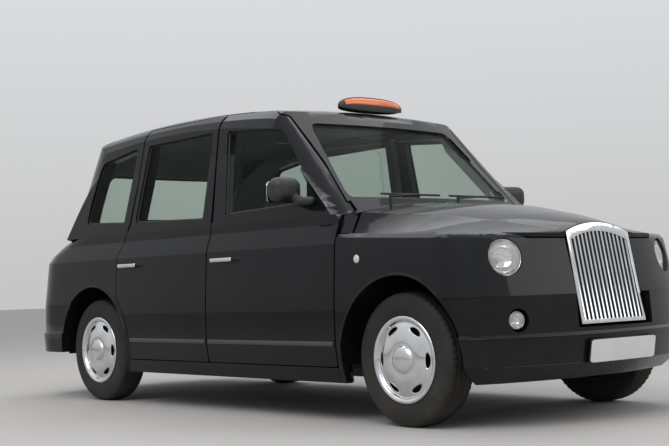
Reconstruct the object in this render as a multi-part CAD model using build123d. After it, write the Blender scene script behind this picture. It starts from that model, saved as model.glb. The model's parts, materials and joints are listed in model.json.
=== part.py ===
from build123d import *
import math
import os

# Purpose-built taxi cab. Millimetres. +X is forward, +Y is the car's left, +Z is up.
# The origin is on the ground under the middle of the car.

# Driving sizes of the whole car
LENGTH = 4580.0
HALF_WIDTH = 885.0
WHEELBASE = 2886.0
FRONT_OVERHANG = 707.0
TRACK_HALF = 750.0
TYRE_RADIUS = 333.0
TYRE_WIDTH = 175.0
RIM_RADIUS = 205.0
ARCH_RADIUS = 415.0
ROOF_TOP = 1793.0

NOSE_X = LENGTH / 2
TAIL_X = -LENGTH / 2
FRONT_AXLE_X = NOSE_X - FRONT_OVERHANG
REAR_AXLE_X = FRONT_AXLE_X - WHEELBASE

# Heights of the body's lines
SILL_BOTTOM = 205.0
DOOR_BOTTOM = 288.0
WAIST = 620.0
SHOULDER = 925.0
LOWER_CREASE = 977.0
CREASE_TUCK = 1030.0
BELT = 1081.0
GLASSHOUSE_TOP = 1850.0

# Walls and clearances
DOOR_WALL = 55.0
DOOR_BACK_GAP = 8.0
FLANGE_WALL = 32.0
WING_WALL = 40.0
ROOF_WALL = 45.0
GLASS_INSET = 14.0
GLASS_WALL = 5.0
SHUT_GAP = 6.0
HINGE_GAP = 10.0
SEAT_GAP = 0.3
RUN_GAP = 8.0

# Doors
FRONT_DOOR_LEAD_X = 1127.0
DOOR_SPLIT_X = -9.0
REAR_DOOR_TAIL_X = -1000.0
DOOR_ARCH_BAND = 40.0
APERTURE_LAND = 48.0
HINGE_RELIEF = 24.0
HINGE_SETBACK = 40.0
HINGE_AXIS_Y = HALF_WIDTH - 20.0
HINGE_HEIGHTS = (430.0, 760.0)
HINGE_PIN_R = 4.0
HINGE_ARM_HALF = 12.0


def rounded_face(points):
    """A flat face through (x, y, corner radius) rows."""
    face = make_face(Polyline(*[(x, y) for x, y, _ in points], close=True))
    for x, y, radius in points:
        if radius > 0:
            corner = face.vertices().sort_by_distance((x, y, 0))[0]
            face = fillet(corner, radius)
    return face


def prism_xz(face, y0, y1):
    """A face drawn in x and z, carried from y0 to y1."""
    upright = Plane.XZ * face
    return Pos(0, y0, 0) * extrude(upright, y1 - y0, dir=(0, 1, 0))


def prism_xy(face, z0, z1):
    """A face drawn in plan, carried from z0 to z1."""
    return Pos(0, 0, z0) * extrude(face, z1 - z0)


def prism_yz(face, x0, x1):
    """A face drawn in y and z, carried from x0 to x1."""
    upright = Plane.YZ * face
    return Pos(x0, 0, 0) * extrude(upright, x1 - x0, dir=(1, 0, 0))


def block(x0, x1, y0, y1, z0, z1):
    """A box between two corners."""
    return Pos((x0 + x1) / 2, (y0 + y1) / 2, (z0 + z1) / 2) * Box(x1 - x0, y1 - y0, z1 - z0)


def rod(start, end, radius):
    """A round bar between two points."""
    way = Vector(*end) - Vector(*start)
    return extrude(Plane(origin=start, z_dir=way) * Circle(radius), way.length)


def mirrored(solid):
    """The same piece on the other side of the car."""
    return mirror(solid, about=Plane.XZ)


def outline(z, half, nose_x, nose_drop, nose_r, tail_x, tail_drop, tail_r):
    """A level cut of the body: bowed nose and tail, straight sides, round corners."""
    edges = [
        ThreePointArc((nose_x - nose_drop, -half), (nose_x, 0), (nose_x - nose_drop, half)),
        Line((nose_x - nose_drop, half), (tail_x + tail_drop, half)),
        ThreePointArc((tail_x + tail_drop, half), (tail_x, 0), (tail_x + tail_drop, -half)),
        Line((tail_x + tail_drop, -half), (nose_x - nose_drop, -half)),
    ]
    face = make_face(edges)
    face = fillet([v for v in face.vertices() if v.X > nose_x - nose_drop - 1], nose_r)
    face = fillet([v for v in face.vertices() if v.X < tail_x + tail_drop + 1], tail_r)
    return Pos(0, 0, z) * face


# The body below the belt, level by level
# columns: height, half width short of the widest, tail short of the bumper, tail bow, corner radius
LOWER_LEVELS = (
    (SILL_BOTTOM, 27.0, 65.0, 140.0, 370.0),
    (404.0, 0.0, 28.0, 140.0, 380.0),
    (WAIST, 0.0, 25.0, 140.0, 380.0),
    (SHOULDER, 17.0, 60.0, 140.0, 385.0),
    (LOWER_CREASE, 33.0, 105.0, 140.0, 400.0),
    (CREASE_TUCK, 53.0, 180.0, 130.0, 430.0),
    (BELT, 55.0, 295.0, 115.0, 490.0),
)
LOWER_FRONT_X = 1330.0

# The glasshouse leans in towards the roof on all sides
SIDE_LEAN = 0.134
SCREEN_LEAN = 0.96
TAIL_LEAN = 0.537
SCREEN_BASE_X = 1187.0
GLASSHOUSE_TAIL_X = TAIL_X + 295.0
BELT_HALF = HALF_WIDTH - 55.0
SCREEN_BOW_R = 2835.0
ROOF_CROWN_R = 8736.0
ROOF_EDGE_R = 130.0
ROOF_EDGE_Y = 624.0
ROOF_EDGE_DROP = 22.0
ROOF_EDGE_ANGLES = (24.0, 44.0, 64.0)


def lower_hull(inset):
    """The outside of the body under the belt, moved in by a wall."""
    faces = []
    for height, short, tail_short, bow, corner in LOWER_LEVELS:
        faces.append(
            outline(height, HALF_WIDTH - short - inset, LOWER_FRONT_X, 20, 20,
                    TAIL_X + tail_short + inset, bow, corner - inset)
        )
    return loft(faces, ruled=True)


def glasshouse(inset):
    """The leaning cabin above the belt, cut by the crowned roof."""
    lean_in = math.hypot(1.0, SCREEN_LEAN) * inset
    tail_in = math.hypot(1.0, TAIL_LEAN) * inset
    rise = GLASSHOUSE_TOP - BELT
    faces = []
    for up, corner, tail_bow, tail_corner in ((0.0, 150.0, 115.0, 490.0), (rise, 120.0, 80.0, 375.0)):
        half = BELT_HALF - SIDE_LEAN * up - inset
        bow = half * half / (2 * SCREEN_BOW_R)
        faces.append(
            outline(BELT + up, half, SCREEN_BASE_X - SCREEN_LEAN * up - lean_in, bow, corner - inset,
                    GLASSHOUSE_TAIL_X + TAIL_LEAN * up + tail_in, tail_bow, tail_corner - inset)
        )
    return loft(faces, ruled=True) & roof_limit(inset)


# Middle line of the roof, as points of three arcs
ROOF_TAIL = ((-1760.0, 1500.0), (-1580.0, 1684.0), (-1300.0, 1762.0))
ROOF_MIDDLE = ((-1300.0, 1762.0), (-400.0, ROOF_TOP), (430.0, 1748.0))
ROOF_FRONT = ((430.0, 1748.0), (590.0, 1708.0), (760.0, 1610.0))


def roof_line_face(lift, foot_z):
    """What lies under the roof's middle line, lifted and down to a foot."""
    def low(row):
        return [(x, z + lift) for x, z in row]
    front_end = (LOWER_FRONT_X, ROOF_FRONT[2][1] + lift)
    tail_end = (TAIL_X, ROOF_TAIL[0][1] - 100 + lift)
    edges = [
        ThreePointArc(*low(ROOF_TAIL)),
        ThreePointArc(*low(ROOF_MIDDLE)),
        ThreePointArc(*low(ROOF_FRONT)),
        Line(low(ROOF_FRONT)[2], front_end),
        Line(front_end, (LOWER_FRONT_X, foot_z)),
        Line((LOWER_FRONT_X, foot_z), (TAIL_X, foot_z)),
        Line((TAIL_X, foot_z), tail_end),
        Line(tail_end, low(ROOF_TAIL)[0]),
    ]
    return make_face([Plane.XZ * e for e in edges])


def roof_limit(inset):
    """All that lies under the crowned roof: its middle line swung sideways."""
    face = roof_line_face(-inset, BELT - 80)
    axis = Axis((0, 0, ROOF_TOP - ROOF_CROWN_R), (1, 0, 0))
    return revolve(face, axis, 7.0) + revolve(face, axis, -7.0)


def hull(inset):
    """The whole cabin body as one solid, moved in by a wall."""
    return lower_hull(inset) + glasshouse(inset)


def slanted_limit(lift, across, rise):
    """All that lies under the roof line, lifted and carried across the car in a slanted direction."""
    reach = 2 * HALF_WIDTH
    start = Pos(0, -reach * across, -reach * rise) * roof_line_face(lift, -2 * GLASSHOUSE_TOP)
    return extrude(start, 2 * reach, dir=(0, across, rise))


def roof_edge_limit(angle, inset):
    """All that lies under one flat of the rounded left roof edge, moved in by a wall."""
    slope = math.radians(angle)
    lift = ROOF_EDGE_Y * math.tan(slope) + (ROOF_EDGE_R - inset) / math.cos(slope) - ROOF_EDGE_R - ROOF_EDGE_DROP
    return slanted_limit(lift, math.cos(slope), -math.sin(slope))


def roof_seam_limit(angle):
    """All that lies under the left roof seam, which leaves the rounded edge square to one of its flats."""
    slope = math.radians(angle)
    touch_y = ROOF_EDGE_Y + ROOF_EDGE_R * math.sin(slope)
    touch_drop = ROOF_EDGE_R + ROOF_EDGE_DROP - ROOF_EDGE_R * math.cos(slope)
    return slanted_limit(-touch_drop - touch_y / math.tan(slope), math.sin(slope), math.cos(slope))


def round_roof(crown, inset):
    """A glasshouse with its roof edges rounded by narrow flats along both sides."""
    for angle in ROOF_EDGE_ANGLES:
        limit = roof_edge_limit(angle, inset)
        crown = crown & limit & mirrored(limit)
    return crown


def rounded_hull(inset):
    """The whole cabin body with rounded roof edges, moved in by a wall."""
    return lower_hull(inset) + round_roof(glasshouse(inset), inset)


FLANKS = hull(0.0)
OUTER = rounded_hull(0.0)
DOOR_INNER = rounded_hull(DOOR_WALL)
FRAME_OUTER = rounded_hull(DOOR_WALL + DOOR_BACK_GAP)
FRAME_INNER = rounded_hull(DOOR_WALL + DOOR_BACK_GAP + FLANGE_WALL)
FRAME_ROOM = rounded_hull(DOOR_WALL + DOOR_BACK_GAP + FLANGE_WALL + SEAT_GAP)
POST_OUTER = rounded_hull(DOOR_WALL + HINGE_RELIEF)
ROOF_INNER = rounded_hull(ROOF_WALL)
GLASS_OUTER = hull(GLASS_INSET)
GLASS_INNER = hull(GLASS_INSET + GLASS_WALL)

BEYOND = HALF_WIDTH + 60.0
SIDE_DEPTH_Y = 655.0

# Outlines seen from the side: x, z, corner radius
FRONT_DOOR_EDGE = (
    (DOOR_SPLIT_X + HINGE_GAP / 2, DOOR_BOTTOM, 12),
    (DOOR_SPLIT_X + HINGE_GAP / 2, 1745.0, 12),
    (400.0, 1728.0, 60),
    (530.0, 1680.0, 60),
    (788.0, 1414.0, 0),
    (1075.0, 1103.0, 30),
    (FRONT_DOOR_LEAD_X, 1062.0, 30),
    (FRONT_DOOR_LEAD_X, DOOR_BOTTOM, 12),
)
REAR_DOOR_EDGE = (
    (DOOR_SPLIT_X - HINGE_GAP / 2, DOOR_BOTTOM, 12),
    (DOOR_SPLIT_X - HINGE_GAP / 2, 1747.0, 12),
    (-807.0, 1742.0, 12),
    (-850.0, 1400.0, 0),
    (-905.0, 1150.0, 60),
    (-950.0, 1050.0, 0),
    (REAR_DOOR_TAIL_X, 940.0, 60),
    (REAR_DOOR_TAIL_X, DOOR_BOTTOM, 0),
)
FRONT_WINDOW = (
    (83.0, 1637.0, 22),
    (121.0, 1138.0, 25),
    (940.0, 1162.0, 25),
    (570.0, 1598.0, 140),
)
REAR_WINDOW = (
    (-757.0, 1637.0, 25),
    (-63.0, 1645.0, 22),
    (-101.0, 1125.0, 25),
    (-848.0, 1148.0, 25),
)
QUARTER_WINDOW = (
    (-884.0, 1636.0, 22),
    (-981.0, 1151.0, 25),
    (-1452.0, 1173.0, 25),
    (-1425.0, 1300.0, 0),
    (-1318.0, 1572.0, 90),
)
WINDOW_GLASS_GAP = 0.3


def wheel_disc(x, radius):
    """The round of a wheel arch, seen from the side."""
    return Pos(x, TYRE_RADIUS) * Circle(radius)


front_door_face = rounded_face(FRONT_DOOR_EDGE)
rear_door_face = rounded_face(REAR_DOOR_EDGE) - wheel_disc(REAR_AXLE_X, ARCH_RADIUS + DOOR_ARCH_BAND)

os.makedirs("parts", exist_ok=True)


def node(name, solid):
    """Write one piece of the car to its own file."""
    export_step(solid, f"parts/{name}.step")


def on_side(piece, side):
    """The piece as drawn for the right side, or its mirror image for the left."""
    return piece if side == "right" else mirrored(piece)


SIDES = ("right", "left")


def side_prism(face, inner_y=SIDE_DEPTH_Y):
    """A side outline carried from outside the right flank to inner_y from the middle."""
    return prism_xz(face, -BEYOND, -inner_y)


def grown(face, amount):
    """A side outline moved outwards, or inwards when negative."""
    return offset(face, amount=amount, kind=Kind.INTERSECTION)


# The upper trailing edges of the doors, from above the belt upwards: x, z
FRONT_SWING_EDGE = ((DOOR_SPLIT_X + HINGE_GAP / 2, 1100.0), (DOOR_SPLIT_X + HINGE_GAP / 2, 1745.0))
REAR_SWING_EDGE = ((-927.5, 1100.0), (-905.0, 1150.0), (-850.0, 1400.0), (-807.0, 1742.0))
SWING_BEVEL = 0.25
SWING_FOOT = 1.0
SWING_SPREAD = 4.5
ROOF_END_GAP = 15.0


def swing_relief(edge):
    """The bevel that lets a right-hand door's upper trailing edge swing past its neighbour."""
    low_z = edge[0][1]
    top_z = edge[-1][1]
    front = []
    for x, z in edge:
        spread = SWING_FOOT + SWING_SPREAD * (z - low_z) / (top_z - low_z)
        front.append((x + spread - SWING_BEVEL * SIDE_LEAN * (z - BELT), z))
    above_z = top_z + 60
    back_x = front[0][0] - 120
    face = make_face(Polyline(*front, (front[-1][0], above_z), (back_x, above_z), (back_x, low_z), close=True))
    start = Pos(-SWING_BEVEL * (BEYOND - BELT_HALF), -BEYOND, 0) * (Plane.XZ * face)
    depth = (BEYOND - SIDE_DEPTH_Y + 20) * math.hypot(1.0, SWING_BEVEL)
    return extrude(start, depth, dir=(SWING_BEVEL, 1, 0))


def door_room(edge_face, backing):
    """The space that a right-hand door and its gap take in the shell, outside a backing hull."""
    return side_prism(grown(edge_face, SHUT_GAP), SIDE_DEPTH_Y - ROOF_END_GAP) - backing


# Doors: hollow to the cabin, windows cut, pockets and bores for the hinges
def hinge_pocket(axis_x, height):
    """Room in a door's leading edge for one hinge arm."""
    return block(axis_x - 16, axis_x + HINGE_SETBACK + 2, -HINGE_AXIS_Y - 8, -HALF_WIDTH + DOOR_WALL + 12,
                 height - HINGE_ARM_HALF - 2, height + HINGE_ARM_HALF + 2)


def door(edge_face, window_face, swing_edge, axis_x):
    """One right-hand door."""
    panel = (side_prism(edge_face) & OUTER) - DOOR_INNER
    panel -= side_prism(window_face)
    panel -= swing_relief(swing_edge)
    for height in HINGE_HEIGHTS:
        panel -= hinge_pocket(axis_x, height)
        panel -= Pos(axis_x, -HINGE_AXIS_Y, height) * Cylinder(HINGE_PIN_R + SEAT_GAP, 84)
    return panel


def door_glass(window_face):
    """The pane that fills a window of the right side."""
    pane = side_prism(grown(window_face, -WINDOW_GLASS_GAP)) & GLASS_OUTER
    return pane - GLASS_INNER


HANDLE_LENGTH = 205.0
HANDLE_HEIGHT = 24.0
HANDLE_Z = 876.0
HANDLE_REACH = 36.0
HANDLE_BAR = 15.0
HANDLE_FOOT = 34.0


def door_handle(tail_x):
    """A pull handle: a round-edged bar on two feet."""
    skin = HALF_WIDTH - 14.0
    outer = skin + HANDLE_REACH
    bar = block(tail_x, tail_x + HANDLE_LENGTH, -outer, -outer + HANDLE_BAR,
                HANDLE_Z - HANDLE_HEIGHT / 2, HANDLE_Z + HANDLE_HEIGHT / 2)
    bar = fillet(bar.edges(), 6)
    handle = bar
    for foot_x in (tail_x + 4, tail_x + HANDLE_LENGTH - 4 - HANDLE_FOOT):
        handle += block(foot_x, foot_x + HANDLE_FOOT, -outer + HANDLE_BAR / 2, -skin + 12,
                        HANDLE_Z - HANDLE_HEIGHT / 2 + 3, HANDLE_Z + HANDLE_HEIGHT / 2 - 3)
    return handle - Pos(0, -SEAT_GAP, 0) * OUTER_BAND


OUTER_BAND = FLANKS & block(-1200, 400, -BEYOND, 0, 700, 1000)

# columns: door name, edge face, window face, swinging edge, hinge axis x, handle's rear end x
FRONT_HINGE_X = FRONT_DOOR_LEAD_X - HINGE_SETBACK
REAR_HINGE_X = DOOR_SPLIT_X - HINGE_GAP / 2 - HINGE_SETBACK
front_window_face = rounded_face(FRONT_WINDOW)
rear_window_face = rounded_face(REAR_WINDOW)
quarter_window_face = rounded_face(QUARTER_WINDOW)
DOORS = (
    ("door_front", front_door_face, front_window_face, FRONT_SWING_EDGE, FRONT_HINGE_X, 70.0),
    ("door_rear", rear_door_face, rear_window_face, REAR_SWING_EDGE, REAR_HINGE_X, -940.0),
)
for name, edge_face, window_face, swing_edge, axis_x, handle_x in DOORS:
    panel = door(edge_face, window_face, swing_edge, axis_x)
    pane = door_glass(window_face)
    handle = door_handle(handle_x)
    for side in SIDES:
        node(f"{name}_{side}", on_side(panel, side))
        node(f"{name}_glass_{side}", on_side(pane, side))
        node(f"{name}_handle_{side}", on_side(handle, side))


# Body sides: sill, posts, roof rail, quarter panel and rear wheelhouse
HEADER_Z = 1600.0
PILLAR_Y = 560.0
ROOF_FRONT_X = 760.0
ROOF_TAIL_X = -1720.0
FLOOR_Z = 300.0
FLOOR_WALL = 25.0
PLATFORM_Z = 505.0
PLATFORM_X = -850.0
WHEELHOUSE_WALL = 12.0
REAR_WELL_Y = TRACK_HALF - TYRE_WIDTH / 2 - 22.0
FRONT_WELL_Y = 420.0

# Windscreen and rear window, seen along the car: y, z, corner radius
SCREEN_EDGE = (
    (-655.0, 1176.0, 40),
    (655.0, 1176.0, 40),
    (560.0, 1638.0, 60),
    (-560.0, 1638.0, 60),
)
REAR_SCREEN_EDGE = (
    (-560.0, 1190.0, 60),
    (560.0, 1190.0, 60),
    (500.0, 1530.0, 90),
    (-500.0, 1530.0, 90),
)
screen_face = rounded_face(SCREEN_EDGE)
rear_screen_face = rounded_face(REAR_SCREEN_EDGE)
SCREEN_CUT = prism_yz(screen_face, 300, LOWER_FRONT_X + 200)
REAR_SCREEN_CUT = prism_yz(rear_screen_face, TAIL_X - 100, -1200)


# The roof panel's share of the shell: its side seams run square to the rounded roof edge
roof_middle = block(ROOF_TAIL_X, ROOF_FRONT_X, -PILLAR_Y, PILLAR_Y, HEADER_Z, ROOF_TOP + 20)
roof_side = block(ROOF_TAIL_X, ROOF_FRONT_X, PILLAR_Y, BEYOND, HEADER_Z - 200, ROOF_TOP + 20)
roof_side -= roof_seam_limit(ROOF_EDGE_ANGLES[1])
ROOF_REGION = roof_middle + roof_side + mirrored(roof_side)


def hinge_arm(axis_x, height):
    """A fixed hinge arm from a post out to its upright pin."""
    post_y = HALF_WIDTH - DOOR_WALL - HINGE_RELIEF - 12
    arm = block(axis_x - 7, axis_x + 7, -HINGE_AXIS_Y, -post_y, height - HINGE_ARM_HALF, height + HINGE_ARM_HALF)
    arm += Pos(axis_x, -HINGE_AXIS_Y, height) * Cylinder(7, 2 * HINGE_ARM_HALF)
    arm += Pos(axis_x, -HINGE_AXIS_Y, height) * Cylinder(HINGE_PIN_R, 78)
    return arm


def wheelhouse(axle_x, well_y, out_y, port_half, port_z):
    """The shell over a right-hand wheel: a half drum, its inner side open for the axle."""
    drum = prism_xz(wheel_disc(axle_x, ARCH_RADIUS + WHEELHOUSE_WALL), -out_y, -well_y + WHEELHOUSE_WALL)
    room = prism_xz(wheel_disc(axle_x, ARCH_RADIUS), -out_y - 1, -well_y)
    below = block(axle_x - 600, axle_x + 600, -out_y - 1, 0, -200, FLOOR_Z)
    port = block(axle_x - port_half, axle_x + port_half, -well_y - 1, 0, FLOOR_Z - 1, port_z)
    return drum - room - below - port


def body_side():
    """The right body side: one pressing with its posts and window openings."""
    region = block(TAIL_X - 10, FRONT_DOOR_LEAD_X + RUN_GAP, -BEYOND, -PILLAR_Y, SILL_BOTTOM - 10, ROOF_TOP)
    region -= ROOF_REGION
    wall = (region & OUTER) - FRAME_INNER
    for edge_face, axis_x in ((front_door_face, FRONT_HINGE_X), (rear_door_face, REAR_HINGE_X)):
        wall -= door_room(edge_face, FRAME_OUTER)
        wall -= side_prism(grown(edge_face, -APERTURE_LAND))
        wall -= block(axis_x - 55, axis_x + 62, -BEYOND, -SIDE_DEPTH_Y, DOOR_BOTTOM - SHUT_GAP, 1740) - POST_OUTER
    wall -= side_prism(quarter_window_face)
    wall -= SCREEN_CUT
    wall -= REAR_SCREEN_CUT
    wall -= prism_xz(wheel_disc(REAR_AXLE_X, ARCH_RADIUS), -BEYOND, 0)
    wall -= REAR_BUMPER_ROOM
    drum = wheelhouse(REAR_AXLE_X, REAR_WELL_Y, HALF_WIDTH - DOOR_WALL, 95, 440)
    wall += drum - (REAR_BUMPER_ROOM - BUMPER_ROOM)
    for axis_x in (FRONT_HINGE_X, REAR_HINGE_X):
        for height in HINGE_HEIGHTS:
            wall += hinge_arm(axis_x, height)
    return wall


# Bumpers: wrap-round mouldings with a rubbing ledge half way up
BUMPER_TOP = 632.0
BUMPER_LEDGE = 438.0
BUMPER_BOTTOM = 218.0
BUMPER_WALL = 60.0
FRONT_BUMPER_TAIL_X = 1868.0
REAR_BUMPER_NOSE_X = -1588.0
REAR_BUMPER_BOTTOM = 313.0
BUMPER_GAP = 0.8

# columns: height, half width short, nose short, nose drop, nose corner, tail short, tail drop, tail corner
BUMPER_LEVELS = (
    (BUMPER_BOTTOM, 28.0, 150.0, 190.0, 250.0, 90.0, 140.0, 360.0),
    (300.0, 6.0, 22.0, 228.0, 262.0, 12.0, 140.0, 378.0),
    (BUMPER_LEDGE, 0.0, 0.0, 230.0, 262.0, 0.0, 140.0, 380.0),
    (BUMPER_LEDGE + 14, 8.0, 16.0, 228.0, 262.0, 12.0, 140.0, 380.0),
    (BUMPER_TOP, 5.0, 28.0, 226.0, 262.0, 20.0, 140.0, 380.0),
)


def bumper_hull(inset):
    """The outside of both bumpers as one stack of level cuts."""
    faces = []
    for height, short, nose_short, nose_drop, nose_r, tail_short, tail_drop, tail_r in BUMPER_LEVELS:
        faces.append(
            outline(height, HALF_WIDTH - short - inset, NOSE_X - nose_short - inset, nose_drop, nose_r - inset,
                    TAIL_X + tail_short + inset, tail_drop, tail_r - inset)
        )
    return loft(faces, ruled=True)


BUMPER_RING = bumper_hull(0.0) - bumper_hull(BUMPER_WALL)
BUMPER_ROOM = bumper_hull(BUMPER_WALL + BUMPER_GAP)
REAR_BUMPER_ROOM = block(TAIL_X - 10, REAR_BUMPER_NOSE_X, -BEYOND, BEYOND, 100, BUMPER_TOP + BUMPER_GAP)


def front_bumper():
    """The front bumper, open over the wheels, with round recesses for the fog lamps."""
    ring = BUMPER_RING & block(FRONT_BUMPER_TAIL_X, NOSE_X + 10, -BEYOND, BEYOND, 100, BUMPER_TOP + 10)
    ring -= prism_xz(wheel_disc(FRONT_AXLE_X, ARCH_RADIUS), -BEYOND, BEYOND)
    ring -= prism_yz(rounded_face(((-300.0, GRILLE_FOOT_Z - 14, 8), (300.0, GRILLE_FOOT_Z - 14, 8),
                                   (300.0, 700.0, 0), (-300.0, 700.0, 0))), 2000, NOSE_X + 10)
    for side_y in (-FOG_Y, FOG_Y):
        ring -= fog_axis(side_y) * Pos(0, 0, -80) * Cylinder(FOG_R + FOG_BEZEL, 140, align=(Align.CENTER, Align.CENTER, Align.MIN))
    return ring


def rear_bumper():
    """The rear bumper."""
    ring = BUMPER_RING & block(TAIL_X - 10, REAR_BUMPER_NOSE_X, -BEYOND, BEYOND, REAR_BUMPER_BOTTOM, BUMPER_TOP + 10)
    return ring - prism_xz(wheel_disc(REAR_AXLE_X, ARCH_RADIUS), -BEYOND, BEYOND)


# Lamps
HEADLAMP_X = 2073.0
HEADLAMP_Y = 628.0
HEADLAMP_Z = 816.0
HEADLAMP_R = 92.0
HEADLAMP_TURN = 24.0
HEADLAMP_LEAN = 9.0
LAMP_DEPTH = 95.0
LAMP_CROWN = 24.0
FOG_Y = 630.0
FOG_Z = 518.0
FOG_X = 2146.0
FOG_R = 42.0
FOG_TURN = 22.0
FOG_BEZEL = 14.0


def lamp_axis(x, side_y, z, turn, lean):
    """A plane on a lamp's face, turned outwards and leaned back."""
    out = math.radians(turn) * (1 if side_y > 0 else -1)
    up = math.radians(lean)
    way = (math.cos(out) * math.cos(up), math.sin(out) * math.cos(up), math.sin(up))
    return Plane(origin=(x, side_y, z), z_dir=way)


def head_axis(side_y):
    """The headlamp's plane on one side."""
    return lamp_axis(HEADLAMP_X, side_y, HEADLAMP_Z, HEADLAMP_TURN, HEADLAMP_LEAN)


def fog_axis(side_y):
    """The fog lamp's plane on one side."""
    return lamp_axis(FOG_X, side_y, FOG_Z, FOG_TURN, 0.0)


def lamp_body(radius, depth, crown):
    """A round lamp: crowned lens, rim and tapering bowl."""
    edges = [
        ThreePointArc((0, crown), (radius * 0.55, crown * 0.72), (radius - 5, 0)),
        Line((radius - 5, 0), (radius, -4)),
        Line((radius, -4), (radius, -16)),
        Line((radius, -16), (radius * 0.55, -depth)),
        Line((radius * 0.55, -depth), (0, -depth)),
        Line((0, -depth), (0, crown)),
    ]
    face = make_face([Plane.XZ * e for e in edges])
    return revolve(face, Axis.Z, 360)


# Front of the car: wings and the hollow nose under the bonnet
WING_TAIL_X = FRONT_DOOR_LEAD_X + HINGE_GAP
NOSE_DROP = 190.0
GRILLE_FOOT_Z = 484.0
GRILLE_HALF = 262.0

# columns: height at the door, half width short, nose short of the bumper, corner radius, follows the wing's fall
NOSE_LEVELS = (
    (SILL_BOTTOM, 27.0, 90.0, 210.0, False),
    (404.0, 0.0, 62.0, 215.0, False),
    (WAIST, 0.0, 58.0, 215.0, False),
    (SHOULDER, 17.0, 112.0, 210.0, True),
    (958.0, 25.0, 118.0, 205.0, True),
    (977.0, 42.0, 134.0, 190.0, True),
    (985.0, 66.0, 156.0, 170.0, True),
)
WING_TOP_Z = 985.0
WING_FALL = 2.96


def wing_line(x):
    """Height of the wing's top over a place along the car."""
    return WING_TOP_Z - (x - FRONT_DOOR_LEAD_X) * math.tan(math.radians(WING_FALL))


def nose_hull(inset):
    """The outside of the wings and nose, with shoulders that fall towards the lamps."""
    faces = []
    for height, short, nose_short, corner, falls in NOSE_LEVELS:
        face = outline(0, HALF_WIDTH - short - inset, NOSE_X - nose_short - inset, NOSE_DROP,
                       corner - inset, FRONT_DOOR_LEAD_X - 200, 4, 2)
        if falls:
            height -= inset
            face = Pos(FRONT_DOOR_LEAD_X, 0, 0) * Rot(0, WING_FALL, 0) * Pos(-FRONT_DOOR_LEAD_X, 0, 0) * face
        faces.append(Pos(0, 0, height) * face)
    return loft(faces, ruled=True)


# Bonnet and scuttle, section by section
# columns: x, half width at the shut line, shut line z, half width at the crease, crease z, crown z
BONNET_ROWS = (
    (1010.0, 840.0, 979.0, 815.0, 1085.0, 1166.0),
    (1232.0, 824.0, 979.5, 770.0, 1083.0, 1150.0),
    (1600.0, 780.0, 960.5, 590.0, 1050.0, 1112.0),
    (1900.0, 700.0, 945.0, 412.0, 1000.0, 1052.0),
    (2045.0, 585.0, 937.5, 320.0, 968.0, 1016.0),
    (2118.0, 480.0, 933.5, 280.0, 950.0, 996.0),
    (2152.0, 300.0, 931.5, 254.0, 941.0, 982.0),
)
BONNET_WALL = 28.0
BONNET_HINGE_X = 1232.0
BONNET_HINGE_Z = 1144.0
BONNET_DIP = 20.0
BONNET_FLANGE = 50.0
SCUTTLE_FRONT_X = BONNET_HINGE_X - 8.0
BONNET_TAIL_X = BONNET_HINGE_X + 8.0
LUG_HALF = 10.0
LUG_R = 7.0
LUG_PIN_R = 3.0
BONNET_LUG_YS = (-180.0, 180.0)


def bonnet_section(row, wall):
    """One cross-section of the bonnet, moved in by a wall."""
    x, shut_y, shut_z, crease_y, crease_z, crown_z = row
    shut_y, crease_y = shut_y - wall, crease_y - wall
    crease_z, crown_z = crease_z - wall, crown_z - wall
    foot = shut_z - BONNET_DIP - (1 if wall else 0)
    side_z = min(shut_z, crease_z - 2)
    edges = [
        Line((-shut_y, foot), (-shut_y, side_z)),
        Line((-shut_y, side_z), (-crease_y, crease_z)),
        ThreePointArc((-crease_y, crease_z), (0, crown_z), (crease_y, crease_z)),
        Line((crease_y, crease_z), (shut_y, side_z)),
        Line((shut_y, side_z), (shut_y, foot)),
        Line((shut_y, foot), (-shut_y, foot)),
    ]
    return Plane.YZ.offset(x) * make_face(edges)


def bonnet_stack(wall, rows):
    """The bonnet's form through its sections."""
    return loft([bonnet_section(row, wall) for row in rows], ruled=True)


def bonnet_plan(amount):
    """The bonnet's shut line in plan, moved out by a gap or in by a flange."""
    right = [(x, -shut_y) for x, shut_y, *_ in BONNET_ROWS[1:]]
    left = [(x, -y) for x, y in reversed(right)]
    face = make_face(Polyline(*right, *left, close=True))
    return offset(face, amount=amount, kind=Kind.INTERSECTION)


def lug_eye(x, y, z, foot_z, reach_x):
    """A moving hinge eye on its short arm."""
    eye = block(min(x, reach_x) - 4, max(x, reach_x) + 4, y - LUG_HALF, y + LUG_HALF, foot_z, z)
    eye += Pos(x, y, z) * Rot(90, 0, 0) * Cylinder(LUG_R, 2 * LUG_HALF)
    return eye - Pos(x, y, z) * Rot(90, 0, 0) * Cylinder(LUG_PIN_R + SEAT_GAP, 60)


def lug_fork(x, y, z, reach_x, reach_z):
    """The fixed fork and pin that hold a hinge eye."""
    fork = Pos(x, y, z) * Rot(90, 0, 0) * Cylinder(LUG_PIN_R, 2 * LUG_HALF + 12)
    for cheek_y in (y - LUG_HALF - 6, y + LUG_HALF + 1):
        fork += block(min(x, reach_x) - 4, max(x, reach_x) + 4, cheek_y, cheek_y + 5,
                      min(z, reach_z) - 4, max(z, reach_z) + 4)
    return fork


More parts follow.
